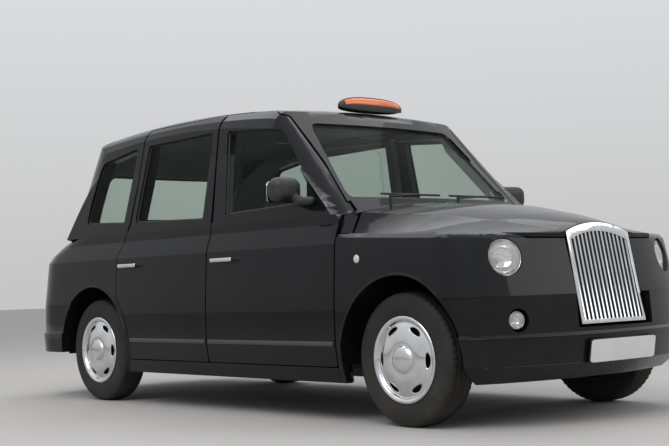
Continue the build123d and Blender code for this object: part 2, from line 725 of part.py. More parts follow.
GRILLE_TOP_Z = 939.0
GRILLE_ARCH_Z = 985.0
GRILLE_FOOT_X = 2237.0
GRILLE_TOP_X = 2153.0
GRILLE_FOOT_HALF = 260.0
GRILLE_TOP_HALF = 252.0
GRILLE_DEPTH = 40.0
GRILLE_BARS = 15
GRILLE_BAR = 13.0
GRILLE_BAR_DEPTH = 26.0
GRILLE_FRAME = 20.0
GRILLE_HEAD = 44.0
GRILLE_LEAN = math.degrees(math.atan2(GRILLE_FOOT_X - GRILLE_TOP_X, GRILLE_TOP_Z - GRILLE_FOOT_Z))
GRILLE_RISE = (GRILLE_TOP_Z - GRILLE_FOOT_Z) / math.cos(math.radians(GRILLE_LEAN))
GRILLE_ARCH = (GRILLE_ARCH_Z - GRILLE_FOOT_Z) / math.cos(math.radians(GRILLE_LEAN))


def grille_outline(grow, foot_lift, head_drop):
    """The grille's arched outline in its own plane."""
    foot, top = GRILLE_FOOT_HALF + grow, GRILLE_TOP_HALF + grow
    rise, arch = GRILLE_RISE - head_drop, GRILLE_ARCH - head_drop
    edges = [
        Line((-foot, foot_lift), (-top, rise)),
        ThreePointArc((-top, rise), (0, arch), (top, rise)),
        Line((top, rise), (foot, foot_lift)),
        Line((foot, foot_lift), (-foot, foot_lift)),
    ]
    return make_face(edges)


def leaned(solid):
    """A piece drawn upright at the grille's foot, leaned back into place."""
    return Pos(GRILLE_FOOT_X, 0, GRILLE_FOOT_Z) * Rot(0, -GRILLE_LEAN, 0) * solid


def grille():
    """Arched surround with its head, upright bars and dark back plate."""
    shell = prism_yz(grille_outline(0, 0, 0), -GRILLE_DEPTH, 0)
    room = prism_yz(grille_outline(-GRILLE_FRAME, GRILLE_FRAME, GRILLE_HEAD), -GRILLE_DEPTH + 6, 1)
    body = shell - room
    inner_half = GRILLE_FOOT_HALF - GRILLE_FRAME
    bars = prism_yz(grille_outline(-GRILLE_FRAME + 1, GRILLE_FRAME - 1, GRILLE_HEAD - 1), -GRILLE_BAR_DEPTH - 8, -4)
    pitch = 2 * inner_half / GRILLE_BARS
    for i in range(GRILLE_BARS):
        y = -inner_half + pitch * (i + 0.5)
        body += bars & block(-GRILLE_DEPTH, 0, y - GRILLE_BAR / 2, y + GRILLE_BAR / 2, 0, GRILLE_ARCH)
    return leaned(body)


GRILLE_ROOM = leaned(prism_yz(grille_outline(4, -4, -4), -GRILLE_DEPTH - 6, 80))
BONNET_FOOT_Y = 790.0
BONNET_FOOT_LENGTH = 70.0
BONNET_FOOT_Z = 971.0
BONNET_SWING = 56.0
BONNET_SWING_END_X = 1345.0
NOSE_OUTER = nose_hull(0.0)
NOSE_INNER = nose_hull(WING_WALL)
BONNET_OUTER = bonnet_stack(0.0, BONNET_ROWS[1:])


def lamp_bore(plane, radius, depth):
    """A round recess along a lamp's axis, open to the front."""
    return plane * Cylinder(radius, depth + 150, align=(Align.CENTER, Align.CENTER, Align.MIN)).moved(Pos(0, 0, -depth))


def front_wing():
    """The right wing with its share of the nose, its lamp recess and inner wheelhouse."""
    region = block(WING_TAIL_X, NOSE_X, -BEYOND, -GRILLE_HALF - 3, SILL_BOTTOM - 10, 1100)
    wing = (region & NOSE_OUTER) - NOSE_INNER
    ledge = prism_xz(make_face(Polyline((WING_TAIL_X - 100, 600), (NOSE_X + 50, 600),
                                        (NOSE_X + 50, wing_line(NOSE_X + 50) - BONNET_DIP - 8),
                                        (WING_TAIL_X - 100, wing_line(WING_TAIL_X - 100) - BONNET_DIP - 8),
                                        close=True)), -BEYOND, BEYOND)
    wing -= prism_xy(bonnet_plan(5.0), 600, 1200) - ledge
    swing_room = Pos(BONNET_SWING, 0, 0) * prism_xy(bonnet_plan(5.0), 940, 1200)
    wing -= (swing_room & block(WING_TAIL_X - 1, BONNET_SWING_END_X, -BEYOND, 0, 940, 1100)) - ledge
    wing -= prism_xy(bonnet_plan(-BONNET_FLANGE), 660, 1200)
    wing -= bonnet_stack(0.0, BONNET_ROWS[:2])
    wing -= block(WING_TAIL_X - 1, SCUTTLE_FRONT_X + 12, -800, 0, 700, 1200)
    wing -= prism_xz(wheel_disc(FRONT_AXLE_X, ARCH_RADIUS), -BEYOND, 0)
    wing -= block(FRONT_BUMPER_TAIL_X - BUMPER_GAP, NOSE_X, -BEYOND, 0, 0, BUMPER_TOP + BUMPER_GAP)
    wing -= lamp_bore(head_axis(-HEADLAMP_Y), HEADLAMP_R + SEAT_GAP, LAMP_DEPTH + 20)
    wing += wheelhouse(FRONT_AXLE_X, FRONT_WELL_Y, HALF_WIDTH - WING_WALL + 4, 130, 480)
    low_nose = block(FRONT_BUMPER_TAIL_X - BUMPER_GAP, NOSE_X, -BEYOND, 0, 0, BUMPER_TOP + BUMPER_GAP)
    wing -= low_nose - BUMPER_ROOM
    return wing


def bonnet():
    """The lid over the engine, a hollow pressing with two hinge eyes."""
    lid = BONNET_OUTER - bonnet_stack(BONNET_WALL, BONNET_ROWS[1:])
    inner_front = block(BONNET_TAIL_X, NOSE_X, -BEYOND, BEYOND, 800, 1300)
    lid = (lid & inner_front) - GRILLE_ROOM
    for y0, y1 in ((-BEYOND, -BONNET_FOOT_Y), (BONNET_FOOT_Y, BEYOND)):
        lid -= block(BONNET_TAIL_X - 1, BONNET_TAIL_X + BONNET_FOOT_LENGTH, y0, y1, 900, BONNET_FOOT_Z)
    for y in BONNET_LUG_YS:
        lid -= block(BONNET_TAIL_X - 20, BONNET_HINGE_X + 26, y - LUG_HALF - 10, y + LUG_HALF + 10, 1080, 1200)
        lid += lug_eye(BONNET_HINGE_X, y, BONNET_HINGE_Z, BONNET_HINGE_Z - 24, BONNET_HINGE_X + 34)
    return lid


def scuttle():
    """Cowl ahead of the windscreen, with the bulkhead behind the engine."""
    rows = BONNET_ROWS[:2]
    cowl = bonnet_stack(0.0, rows) - bonnet_stack(BONNET_WALL, rows)
    cowl &= block(BONNET_ROWS[0][0], SCUTTLE_FRONT_X, -BEYOND, BEYOND, 900, 1300)
    cowl -= block(0, FRONT_DOOR_LEAD_X + HINGE_GAP, -BEYOND, BEYOND, 0, BELT + 0.01)
    cowl -= glasshouse(0.0)
    room = door_room(front_door_face, POST_OUTER)
    cowl -= room + mirrored(room)
    sill = (FLANKS - DOOR_INNER) & block(900, 1300, -PILLAR_Y, PILLAR_Y, BELT - 40, 1400)
    cowl += sill - SCREEN_CUT
    wall_x = FRONT_DOOR_LEAD_X + RUN_GAP + 2
    cowl += block(wall_x, wall_x + 12, -784, 784, FLOOR_Z, BELT) & OUTER
    cowl += block(wall_x, SCUTTLE_FRONT_X, -784, 784, BELT - 12, BELT)
    for y in BONNET_LUG_YS:
        cowl += lug_fork(BONNET_HINGE_X, y, BONNET_HINGE_Z, SCUTTLE_FRONT_X - 8, BONNET_HINGE_Z - 24)
    return cowl


def roof():
    """Roof panel with its front and rear headers."""
    shell = OUTER - ROOF_INNER
    panel = (shell & ROOF_REGION) - SCREEN_CUT
    for edge_face in (front_door_face, rear_door_face):
        gap = door_room(edge_face, FRAME_OUTER)
        panel -= gap + mirrored(gap)
    return panel


BOOT_HALF = 520.0
BOOT_BOTTOM = 645.0
BOOT_TOP = 1058.0
BOOT_WALL = 45.0
BOOT_HINGE_X = -2030.0
BOOT_HINGE_Z = 1062.0
BOOT_LUG_YS = (-300.0, 300.0)
BOOT_INNER = hull(BOOT_WALL)
BOOT_EDGE = (
    (-BOOT_HALF, BOOT_BOTTOM, 40),
    (BOOT_HALF, BOOT_BOTTOM, 40),
    (BOOT_HALF - 30, BOOT_TOP, 30),
    (-BOOT_HALF + 30, BOOT_TOP, 30),
)
boot_face = rounded_face(BOOT_EDGE)


def rear_panel():
    """Panel under and around the rear window, with the boot opening."""
    region = block(TAIL_X - 10, -1500, -PILLAR_Y, PILLAR_Y, PLATFORM_Z, HEADER_Z)
    panel = (region & OUTER) - DOOR_INNER
    panel -= REAR_SCREEN_CUT
    panel -= prism_yz(grown(boot_face, SHUT_GAP), TAIL_X - 10, -1900)
    panel -= block(TAIL_X - 10, -1700, -PILLAR_Y, PILLAR_Y, 400, BUMPER_TOP + BUMPER_GAP)
    for y in BOOT_LUG_YS:
        panel += lug_fork(BOOT_HINGE_X, y, BOOT_HINGE_Z, BOOT_HINGE_X + 20, BOOT_HINGE_Z + 2)
    return panel


def boot_lid():
    """The boot lid with two hinge eyes at its top edge."""
    lid = (prism_yz(boot_face, TAIL_X - 10, -1900) & OUTER) - BOOT_INNER
    for y in BOOT_LUG_YS:
        lid -= block(-2075, -1990, y - LUG_HALF - 10, y + LUG_HALF + 10, BOOT_TOP - 20, BOOT_TOP + 20)
        lid += lug_eye(BOOT_HINGE_X, y, BOOT_HINGE_Z, BOOT_TOP - 26, BOOT_HINGE_X - 22)
    return lid


def fixed_glass():
    """Windscreen, rear window and both quarter windows."""
    skin = GLASS_OUTER - GLASS_INNER
    screen = skin & prism_yz(grown(screen_face, -WINDOW_GLASS_GAP), 500, LOWER_FRONT_X)
    rear = skin & prism_yz(grown(rear_screen_face, -WINDOW_GLASS_GAP), TAIL_X, -1400)
    quarter = skin & side_prism(grown(quarter_window_face, -WINDOW_GLASS_GAP))
    return Compound(children=[*screen.solids(), *rear.solids(), *quarter.solids(), *mirrored(quarter).solids()])


# Floor, frame and running gear
FRAME_RAIL_Y = 360.0
RAIL_WIDTH = 80.0
RAIL_HEIGHT = 80.0
CROSS_HEIGHT = 55.0
RAIL_LOW_Z = 195.0
RAIL_FRONT_Z = 300.0
RAIL_REAR_Z = PLATFORM_Z - FLOOR_WALL - RAIL_HEIGHT
FLOOR_HALF = 786.0
FLOOR_NOSE_X = FRONT_DOOR_LEAD_X + RUN_GAP + 1.0
RAIL_KICK_X = FLOOR_NOSE_X + 8.0


def floor_pan():
    """Flat cabin floor, step up to the seat platform and the boot floor."""
    low = FLOOR_Z - FLOOR_WALL
    high = PLATFORM_Z - FLOOR_WALL
    step = make_face(Polyline((FLOOR_NOSE_X, low), (FLOOR_NOSE_X, FLOOR_Z), (PLATFORM_X + FLOOR_WALL, FLOOR_Z),
                              (PLATFORM_X, PLATFORM_Z), (-2140, PLATFORM_Z), (-2140, high),
                              (PLATFORM_X - FLOOR_WALL, high), (PLATFORM_X, low), close=True))
    pan = prism_xz(step, -FLOOR_HALF, FLOOR_HALF)
    pan &= FRAME_INNER + block(-2200, 1400, -FLOOR_HALF, FLOOR_HALF, 0, SILL_BOTTOM + 1)
    for side_y in (-1, 1):
        inner_y = side_y * (REAR_WELL_Y - WHEELHOUSE_WALL - SEAT_GAP)
        y0, y1 = sorted((inner_y, inner_y + side_y * HALF_WIDTH))
        pan -= prism_xz(wheel_disc(REAR_AXLE_X, ARCH_RADIUS + WHEELHOUSE_WALL + SEAT_GAP), y0, y1)
    return pan


def chassis_frame():
    """Two side rails kicked up over the axles, with cross members."""
    foot = ((-2180.0, RAIL_REAR_Z), (-1100.0, RAIL_REAR_Z), (-890.0, RAIL_LOW_Z), (RAIL_KICK_X, RAIL_LOW_Z),
            (1260.0, RAIL_FRONT_Z), (2150.0, RAIL_FRONT_Z))
    top = [(x, z + RAIL_HEIGHT) for x, z in reversed(foot)]
    rail = prism_xz(make_face(Polyline(*foot, *top, close=True)), -RAIL_WIDTH / 2, RAIL_WIDTH / 2)
    frame = Pos(0, FRAME_RAIL_Y, 0) * rail + Pos(0, -FRAME_RAIL_Y, 0) * rail
    # columns: x, low z, width along the car
    for x, low_z, width in ((-2150.0, RAIL_REAR_Z, 60.0), (-300.0, RAIL_LOW_Z + 20, 60.0),
                            (700.0, RAIL_LOW_Z + 20, 60.0), (FRONT_AXLE_X, RAIL_FRONT_Z - 50, 110.0),
                            (2120.0, RAIL_FRONT_Z, 60.0)):
        frame += block(x - width / 2, x + width / 2, -FRAME_RAIL_Y, FRAME_RAIL_Y, low_z, low_z + CROSS_HEIGHT)
    for x in (-400.0, 500.0):
        arm = block(x - 60, x + 60, -HALF_WIDTH, HALF_WIDTH, RAIL_LOW_Z + 25, FLOOR_Z - FLOOR_WALL)
        frame += arm & FRAME_ROOM
    return frame - exhaust_pipe(EXHAUST_R + 10)


EXHAUST_Y = -190.0
EXHAUST_Z = 236.0
EXHAUST_R = 27.0
EXHAUST_TAIL_X = -2240.0


def exhaust_pipe(radius):
    """The exhaust's run under the floor."""
    pipe = rod((1350, EXHAUST_Y, EXHAUST_Z), (EXHAUST_TAIL_X, EXHAUST_Y, EXHAUST_Z), radius)
    return pipe


def exhaust():
    """Pipe with its silencer, hung from the floor."""
    can = rod((-150, EXHAUST_Y, EXHAUST_Z), (150, EXHAUST_Y, EXHAUST_Z), 36)
    hanger = block(-12, 12, EXHAUST_Y - 12, EXHAUST_Y + 12, EXHAUST_Z + 20, FLOOR_Z - FLOOR_WALL - SEAT_GAP)
    pipe = exhaust_pipe(EXHAUST_R) + can + hanger
    return pipe - exhaust_bore()


def exhaust_bore():
    """The open end of the tail pipe."""
    return rod((EXHAUST_TAIL_X - 1, EXHAUST_Y, EXHAUST_Z), (EXHAUST_TAIL_X + 120, EXHAUST_Y, EXHAUST_Z), EXHAUST_R - 3)


STUB_R = 18.0
HUB_R = 36.0
KINGPIN_Y = 660.0
KINGPIN_R = 9.0
KNUCKLE_LOW_Z = 240.0
KNUCKLE_HIGH_Z = 426.0
ARM_WALL = 20.0


def rear_axle():
    """Live axle: tube, final drive, hub flanges and stubs."""
    half = TRACK_HALF - 75
    axle = rod((REAR_AXLE_X, -half, TYRE_RADIUS), (REAR_AXLE_X, half, TYRE_RADIUS), 42)
    axle += Pos(REAR_AXLE_X, 0, TYRE_RADIUS) * Rot(90, 0, 0) * Cylinder(105, 150)
    for side_y in (-1, 1):
        y = side_y * half
        axle += rod((REAR_AXLE_X, y - side_y * 12, TYRE_RADIUS), (REAR_AXLE_X, y, TYRE_RADIUS), 60)
        axle += rod((REAR_AXLE_X, y, TYRE_RADIUS), (REAR_AXLE_X, side_y * (TRACK_HALF + 24), TYRE_RADIUS), STUB_R)
        spring = block(REAR_AXLE_X - 35, REAR_AXLE_X + 35, side_y * FRAME_RAIL_Y - 35, side_y * FRAME_RAIL_Y + 35,
                       TYRE_RADIUS, RAIL_REAR_Z)
        axle += spring
    return axle


def front_suspension():
    """Wishbones on both sides, from the frame out to the kingpins."""
    arms = []
    for side_y in (-1, 1):
        root = side_y * (FRAME_RAIL_Y + RAIL_WIDTH / 2)
        tip = side_y * KINGPIN_Y
        for low_z in (KNUCKLE_LOW_Z - ARM_WALL - SEAT_GAP, KNUCKLE_HIGH_Z + SEAT_GAP):
            plan = make_face(Polyline((FRONT_AXLE_X - 100, root), (FRONT_AXLE_X - 22, tip), (FRONT_AXLE_X + 22, tip),
                                      (FRONT_AXLE_X + 100, root), close=True))
            inner = make_face(Polyline((FRONT_AXLE_X - 62, root), (FRONT_AXLE_X - 8, tip - side_y * 110),
                                       (FRONT_AXLE_X + 8, tip - side_y * 110), (FRONT_AXLE_X + 62, root), close=True))
            arm = prism_xy(plan, low_z, low_z + ARM_WALL) - prism_xy(inner, low_z - 1, low_z + ARM_WALL + 1)
            arm += Pos(FRONT_AXLE_X, tip, low_z + ARM_WALL / 2) * Cylinder(22, ARM_WALL)
            arm -= Pos(FRONT_AXLE_X, tip, low_z + ARM_WALL / 2) * Cylinder(KINGPIN_R + SEAT_GAP, ARM_WALL + 4)
            arms.append(arm)
        bracket_y0, bracket_y1 = sorted((root, root - side_y * 30))
        top_z = KNUCKLE_HIGH_Z + SEAT_GAP + ARM_WALL
        tower = block(FRONT_AXLE_X - 100, FRONT_AXLE_X + 100, bracket_y0, bracket_y1,
                      RAIL_FRONT_Z + RAIL_HEIGHT + SEAT_GAP, top_z)
        base = block(FRONT_AXLE_X - 100, FRONT_AXLE_X + 100, bracket_y0, bracket_y1,
                     KNUCKLE_LOW_Z - ARM_WALL - SEAT_GAP, RAIL_FRONT_Z - SEAT_GAP)
        arms[-1] += tower
        arms[-2] += base - block(0, 3000, -FRAME_RAIL_Y, FRAME_RAIL_Y, RAIL_FRONT_Z - 51, RAIL_FRONT_Z)
    return Compound(children=[q for arm in arms for q in arm.solids()])


def knuckle():
    """Right steering knuckle: upright, kingpin ends, stub axle and steering arm."""
    y = -KINGPIN_Y
    height = KNUCKLE_HIGH_Z - KNUCKLE_LOW_Z
    mid_z = (KNUCKLE_HIGH_Z + KNUCKLE_LOW_Z) / 2
    piece = Pos(FRONT_AXLE_X, y, mid_z) * Cylinder(21, height)
    piece += Pos(FRONT_AXLE_X, y, mid_z) * Cylinder(KINGPIN_R, height + 2 * (ARM_WALL + 6))
    piece += rod((FRONT_AXLE_X, y, TYRE_RADIUS), (FRONT_AXLE_X, y - 15, TYRE_RADIUS), 55)
    piece += rod((FRONT_AXLE_X, y, TYRE_RADIUS), (FRONT_AXLE_X, -TRACK_HALF - 24, TYRE_RADIUS), STUB_R)
    piece += block(FRONT_AXLE_X - 120, FRONT_AXLE_X, y - 10, y + 10, 300, 322)
    return piece


# Wheels. Their section is drawn with x along the axle, outwards, and y from the hub
RIM_WALL = 8.0
TYRE_SECTION_GAP = 0.3
COVER_R = 217.0
COVER_SLOTS = 6


def tyre_section():
    """The tyre's section: flat bead seat, bulged sides, sloping shoulders and a flat tread."""
    half = TYRE_WIDTH / 2
    # columns: distance from the middle, distance from the axle
    right = ((half - 12, RIM_RADIUS), (half, RIM_RADIUS + 62), (half - 8, TYRE_RADIUS - 15), (half - 25, TYRE_RADIUS))
    left = [(-x, r) for x, r in reversed(right)]
    return make_face(Polyline(*right, *left, close=True))


def on_hub(solid, axle_x, side):
    """A piece turned about the x axis, placed on a wheel's centre."""
    turn = -90 if side == "right" else 90
    y = -TRACK_HALF if side == "right" else TRACK_HALF
    return Pos(axle_x, y, TYRE_RADIUS) * Rot(0, 0, turn) * solid


def tyre():
    """One tyre, its axle along x and its outer side towards +x."""
    return revolve(tyre_section(), Axis.X, 360)


def wheel():
    """Rim, disc and hub with the domed, slotted cover."""
    r = RIM_RADIUS - TYRE_SECTION_GAP
    lip = TYRE_WIDTH / 2 - 9
    barrel = make_face(Polyline((-lip, r - RIM_WALL), (-lip, r), (lip, r), (lip, r - RIM_WALL), close=True))
    disc = make_face(Polyline((-4, STUB_R + SEAT_GAP), (22, STUB_R + SEAT_GAP), (22, r - RIM_WALL + 1),
                              (12, r - RIM_WALL + 1), (12, HUB_R), (-4, HUB_R), close=True))
    body = revolve(barrel, Axis.X, 360) + revolve(disc, Axis.X, 360)
    cover_face = make_face(Polyline(
        (lip - 6, r - 4), (lip + 3, r - 4), (lip + 7, COVER_R - 3), (lip + 10, COVER_R), (lip + 12, COVER_R - 3),
        (lip, 187), (lip + 12, 150), (lip + 26, 72), (lip + 22, 64), (lip + 33, 34), (lip + 35, 0),
        (lip + 29, 0), (lip + 26, 33), (lip + 15, 66), (lip + 6, 149), (lip - 7, 186), close=True))
    cover = revolve(cover_face, Axis.X, 360)
    slot = extrude(Plane.YZ * SlotOverall(66, 24), 30, both=True)
    for i in range(COVER_SLOTS):
        cover -= Rot(360 / COVER_SLOTS * i, 0, 0) * Pos(lip + 10, 0, 158) * slot
    body += cover
    return body


# Cabin
DASH_FRONT_X = FRONT_DOOR_LEAD_X + RUN_GAP + 1.5
STEER_X = 690.0
STEER_Y = -360.0
STEER_Z = 985.0
STEER_RING_R = 190.0
STEER_RAKE = 28.0


def dashboard():
    """Dashboard moulding across the cabin, with the steering column."""
    face = rounded_face(((DASH_FRONT_X, 760.0, 0), (DASH_FRONT_X, 1070.0, 0), (900.0, 1055.0, 40), (850.0, 960.0, 30),
                         (905.0, 760.0, 20)))
    dash = prism_xz(face, -700, 700)
    column = Plane(origin=(STEER_X, STEER_Y, STEER_Z), z_dir=steer_way())
    dash += column * Pos(0, 0, 26) * Cylinder(30, 240, align=(Align.CENTER, Align.CENTER, Align.MIN))
    return dash


def steer_way():
    """Direction of the steering column, away from the driver."""
    rake = math.radians(STEER_RAKE)
    return (math.cos(rake), 0, -math.sin(rake))


def steering_wheel():
    """Rim, hub and three spokes."""
    hub = Cylinder(40, 36) + Pos(0, 0, 12) * Cylinder(24, 27.4)
    wheel_body = Torus(STEER_RING_R, 15) + hub
    for angle in (0, 180, 270):
        wheel_body += Rot(0, 0, angle) * Pos(STEER_RING_R / 2, 0, 0) * Box(STEER_RING_R, 34, 14)
    column = Plane(origin=(STEER_X, STEER_Y, STEER_Z), x_dir=(0, -1, 0), z_dir=steer_way())
    return column * wheel_body


def pad(x0, x1, y0, y1, z0, z1, radius):
    """A soft block with rounded edges."""
    return fillet(block(x0, x1, y0, y1, z0, z1).edges(), radius)


BACKREST_HALF = 545.0
BACKREST_HEIGHT = 560.0
BACKREST_PLACE = Pos(-1480, 0, PLATFORM_Z + 171) * Rot(0, -12, 0)
SHELF_Z = 1176.0
SHELF_ROOM = hull(DOOR_WALL + SEAT_GAP)


def rear_seat():
    """Bench cushion and backrest for the passengers."""
    cushion = pad(-1480, -950, -600, 600, PLATFORM_Z + SEAT_GAP, PLATFORM_Z + 170, 40)
    back = BACKREST_PLACE * pad(-120, 10, -BACKREST_HALF, BACKREST_HALF, 0, BACKREST_HEIGHT, 40)
    return Compound(children=[cushion, back])


def parcel_shelf():
    """The board behind the backrest and the shelf under the rear window."""
    room = block(TAIL_X, 0, -BACKREST_HALF, BACKREST_HALF, PLATFORM_Z + SEAT_GAP, 1500) & SHELF_ROOM
    board = BACKREST_PLACE * block(-132, -120 - SEAT_GAP, -BACKREST_HALF, BACKREST_HALF, -200, BACKREST_HEIGHT)
    shelf = block(-2000, -1715, -BACKREST_HALF, BACKREST_HALF, SHELF_Z, SHELF_Z + 12)
    return (board + shelf) & room


def driver_seat():
    """Driver's seat on its plinth."""
    cushion = pad(230, 740, STEER_Y - 240, STEER_Y + 240, 500, 640, 45)
    back = Pos(235, STEER_Y, 560) * Rot(0, -10, 0) * pad(-110, 15, -235, 235, 0, 640, 45)
    plinth = block(290, 690, STEER_Y - 190, STEER_Y + 190, FLOOR_Z + SEAT_GAP, 520)
    return cushion + back + plinth


# columns: y, z, corner radius
PARTITION_WINDOW = ((-620, 1120, 40), (620, 1120, 40), (570, 1600, 60), (-570, 1600, 60))


def partition():
    """Bulkhead with a window between driver and passengers."""
    x = -30.0
    wall = block(x, x + 25, -FLOOR_HALF, FLOOR_HALF, FLOOR_Z + SEAT_GAP, 1700) & FRAME_ROOM
    window = prism_yz(rounded_face(PARTITION_WINDOW), x - 5, x + 40)
    pane_face = grown(rounded_face(PARTITION_WINDOW), -WINDOW_GLASS_GAP)
    pane = prism_yz(pane_face, x + 9, x + 14)
    return Compound(children=[*(wall - window).solids(), *pane.solids()])


# Outside fittings
SIGN_X = 511.0
SIGN_HALF = 253.0
SIGN_TOP = 1834.0
SIGN_DEPTH = 96.0


def sign_housing():
    """Housing of the roof sign, seated on the roof."""
    body = fillet(block(SIGN_X - SIGN_DEPTH / 2, SIGN_X + SIGN_DEPTH / 2, -SIGN_HALF, SIGN_HALF, 1700, SIGN_TOP)
                  .edges().filter_by(lambda e: e.center().Z > 1720), 18)
    body -= Pos(0, 0, SEAT_GAP) * FLANKS
    return body - block(SIGN_X + SIGN_DEPTH / 2 - 14, SIGN_X + 80, -SIGN_HALF + 16, SIGN_HALF - 16, 1757, SIGN_TOP - 14)


def sign_lens():
    """Lit lens on the front of the roof sign."""
    x = SIGN_X + SIGN_DEPTH / 2
    lens = block(x - 14 + SEAT_GAP, x + 3, -SIGN_HALF + 16.4, SIGN_HALF - 16.4, 1757.4, SIGN_TOP - 14.4)
    return fillet(lens.edges().filter_by(lambda e: e.center().X > x), 2.5)


def mirror_arm():
    """Right door mirror: foot on the door and rounded housing."""
    housing = Pos(792, -916, 1228) * Rot(0, 0, 12) * fillet(Box(112, 200, 138).edges(), 48)
    foot = Pos(880, -842, 1165) * Rot(0, 0, 25) * fillet(Box(120, 90, 44).edges(), 18)
    arm = rod((850, -850, 1170), (800, -900, 1200), 24)
    piece = housing + foot + arm
    return piece - Pos(0, -SEAT_GAP, 0) * (FLANKS & block(600, 1127, -BEYOND, 0, 1000, 1400))


WIPER_PIVOT_X = 1150.0
WIPER_LENGTH = 470.0


def wipers():
    """Two wipers with their spindles, parked along the foot of the windscreen."""
    pieces = []
    for pivot_y in (-470.0, 60.0):
        spindle = Pos(WIPER_PIVOT_X, pivot_y, 1160) * Cylinder(9, 60)
        arm = rod((WIPER_PIVOT_X, pivot_y, 1180), (WIPER_PIVOT_X - 30, pivot_y + 210, 1196), 5)
        blade = rod((WIPER_PIVOT_X - 30, pivot_y - 40, 1196), (WIPER_PIVOT_X - 30, pivot_y + WIPER_LENGTH - 60, 1196), 6)
        piece = (spindle + arm + blade) - Pos(SEAT_GAP, 0, SEAT_GAP) * COWL
        pieces.extend(piece.solids())
    return Compound(children=pieces)


COWL = scuttle()


def headlamps():
    """Both headlamps."""
    lamp = lamp_body(HEADLAMP_R, LAMP_DEPTH, LAMP_CROWN)
    return Compound(children=[(head_axis(y) * lamp).solids()[0] for y in (-HEADLAMP_Y, HEADLAMP_Y)])


def fog_lamps():
    """Both front fog lamps."""
    bezel = Pos(0, 0, -12) * Cylinder(FOG_R + FOG_BEZEL - SEAT_GAP, 8)
    lamp = lamp_body(FOG_R, 60.0, 8.0) + bezel
    return Compound(children=[(fog_axis(y) * Pos(0, 0, -14) * lamp).solids()[0] for y in (-FOG_Y, FOG_Y)])


TAIL_LAMP_HALF = 62.0
TAIL_LAMP_Y = 690.0
TAIL_LAMP_LOW = 690.0
TAIL_LAMP_HIGH = 930.0


def tail_lamps():
    """Upright rear lamp clusters, one each side."""
    face = rounded_face(((-TAIL_LAMP_HALF, TAIL_LAMP_LOW, 40), (TAIL_LAMP_HALF, TAIL_LAMP_LOW, 40),
                         (TAIL_LAMP_HALF, TAIL_LAMP_HIGH, 40), (-TAIL_LAMP_HALF, TAIL_LAMP_HIGH, 40)))
    skin = Pos(-10, -6, 0) * FLANKS
    lamp = (Pos(0, -TAIL_LAMP_Y, 0) * prism_yz(face, TAIL_X, -1900)) & skin
    lamp -= Pos(-SEAT_GAP, -SEAT_GAP, 0) * FLANKS
    return Compound(children=[*lamp.solids(), *mirrored(lamp).solids()])


def front_panel():
    """Radiator panel behind the grille, standing on the front cross member."""
    panel = leaned(prism_yz(grille_outline(2, 4, 60), -GRILLE_DEPTH - 40, -GRILLE_DEPTH - SEAT_GAP))
    for y in (-170.0, 170.0):
        panel += block(2110, 2140, y - 20, y + 20, RAIL_FRONT_Z + CROSS_HEIGHT + SEAT_GAP, GRILLE_FOOT_Z + 6)
        panel += block(2110, 2180, y - 20, y + 20, GRILLE_FOOT_Z + 6, GRILLE_FOOT_Z + 26)
    return panel


def engine():
    """The engine and gearbox as one plain block on its two mounts."""
    reach = FRAME_RAIL_Y - RAIL_WIDTH / 2 - SEAT_GAP
    mounts = block(1400, 1470, -reach, reach, 335, 375)
    return block(1290, 1900, -250, 250, 330, 880) + mounts


# Pieces of the fixed body, one file each
BODY_PIECES = (
    ("parcel_shelf", parcel_shelf),
    ("roof_panel", roof),
    ("rear_panel", rear_panel),
    ("fixed_glass", fixed_glass),
    ("floor_pan", floor_pan),
    ("chassis_frame", chassis_frame),
    ("exhaust", exhaust),
    ("rear_axle", rear_axle),
    ("front_suspension", front_suspension),
    ("engine_block", engine),
    ("front_panel", front_panel),
    ("grille", grille),
    ("front_bumper", front_bumper),
    ("rear_bumper", rear_bumper),
    ("headlamps", headlamps),
    ("fog_lamps", fog_lamps),
    ("tail_lamps", tail_lamps),
    ("sign_housing", sign_housing),
    ("sign_lens", sign_lens),
    ("dashboard", dashboard),
    ("partition", partition),
    ("driver_seat", driver_seat),
    ("rear_seat", rear_seat),
    ("wipers", wipers),
    ("bonnet", bonnet),
    ("boot_lid", boot_lid),
    ("steering_wheel", steering_wheel),
)
for name, build in BODY_PIECES:
    node(name, build())
node("scuttle", COWL)

# Pieces that come as a right and a left one
for name, piece in (("body_side", body_side()), ("front_wing", front_wing()), ("mirror", mirror_arm()),
                    ("knuckle", knuckle())):
    for side in SIDES:
        node(f"{name}_{side}", on_side(piece, side))

# Wheels on the four hubs
tyre_form = tyre()
wheel_form = wheel()
for axle_name, axle_x in (("front", FRONT_AXLE_X), ("rear", REAR_AXLE_X)):
    for side in SIDES:
        node(f"tyre_{axle_name}_{side}", on_hub(tyre_form, axle_x, side))
        node(f"wheel_{axle_name}_{side}", on_hub(wheel_form, axle_x, side))
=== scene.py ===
"""Looks of an upright purpose-built taxi cab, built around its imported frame."""

import json
import logging
import math
from collections.abc import Sequence
from dataclasses import dataclass
from enum import Enum

import bmesh
import bpy
import numpy as np
from mathutils import Matrix, Vector
from mathutils.bvhtree import BVHTree

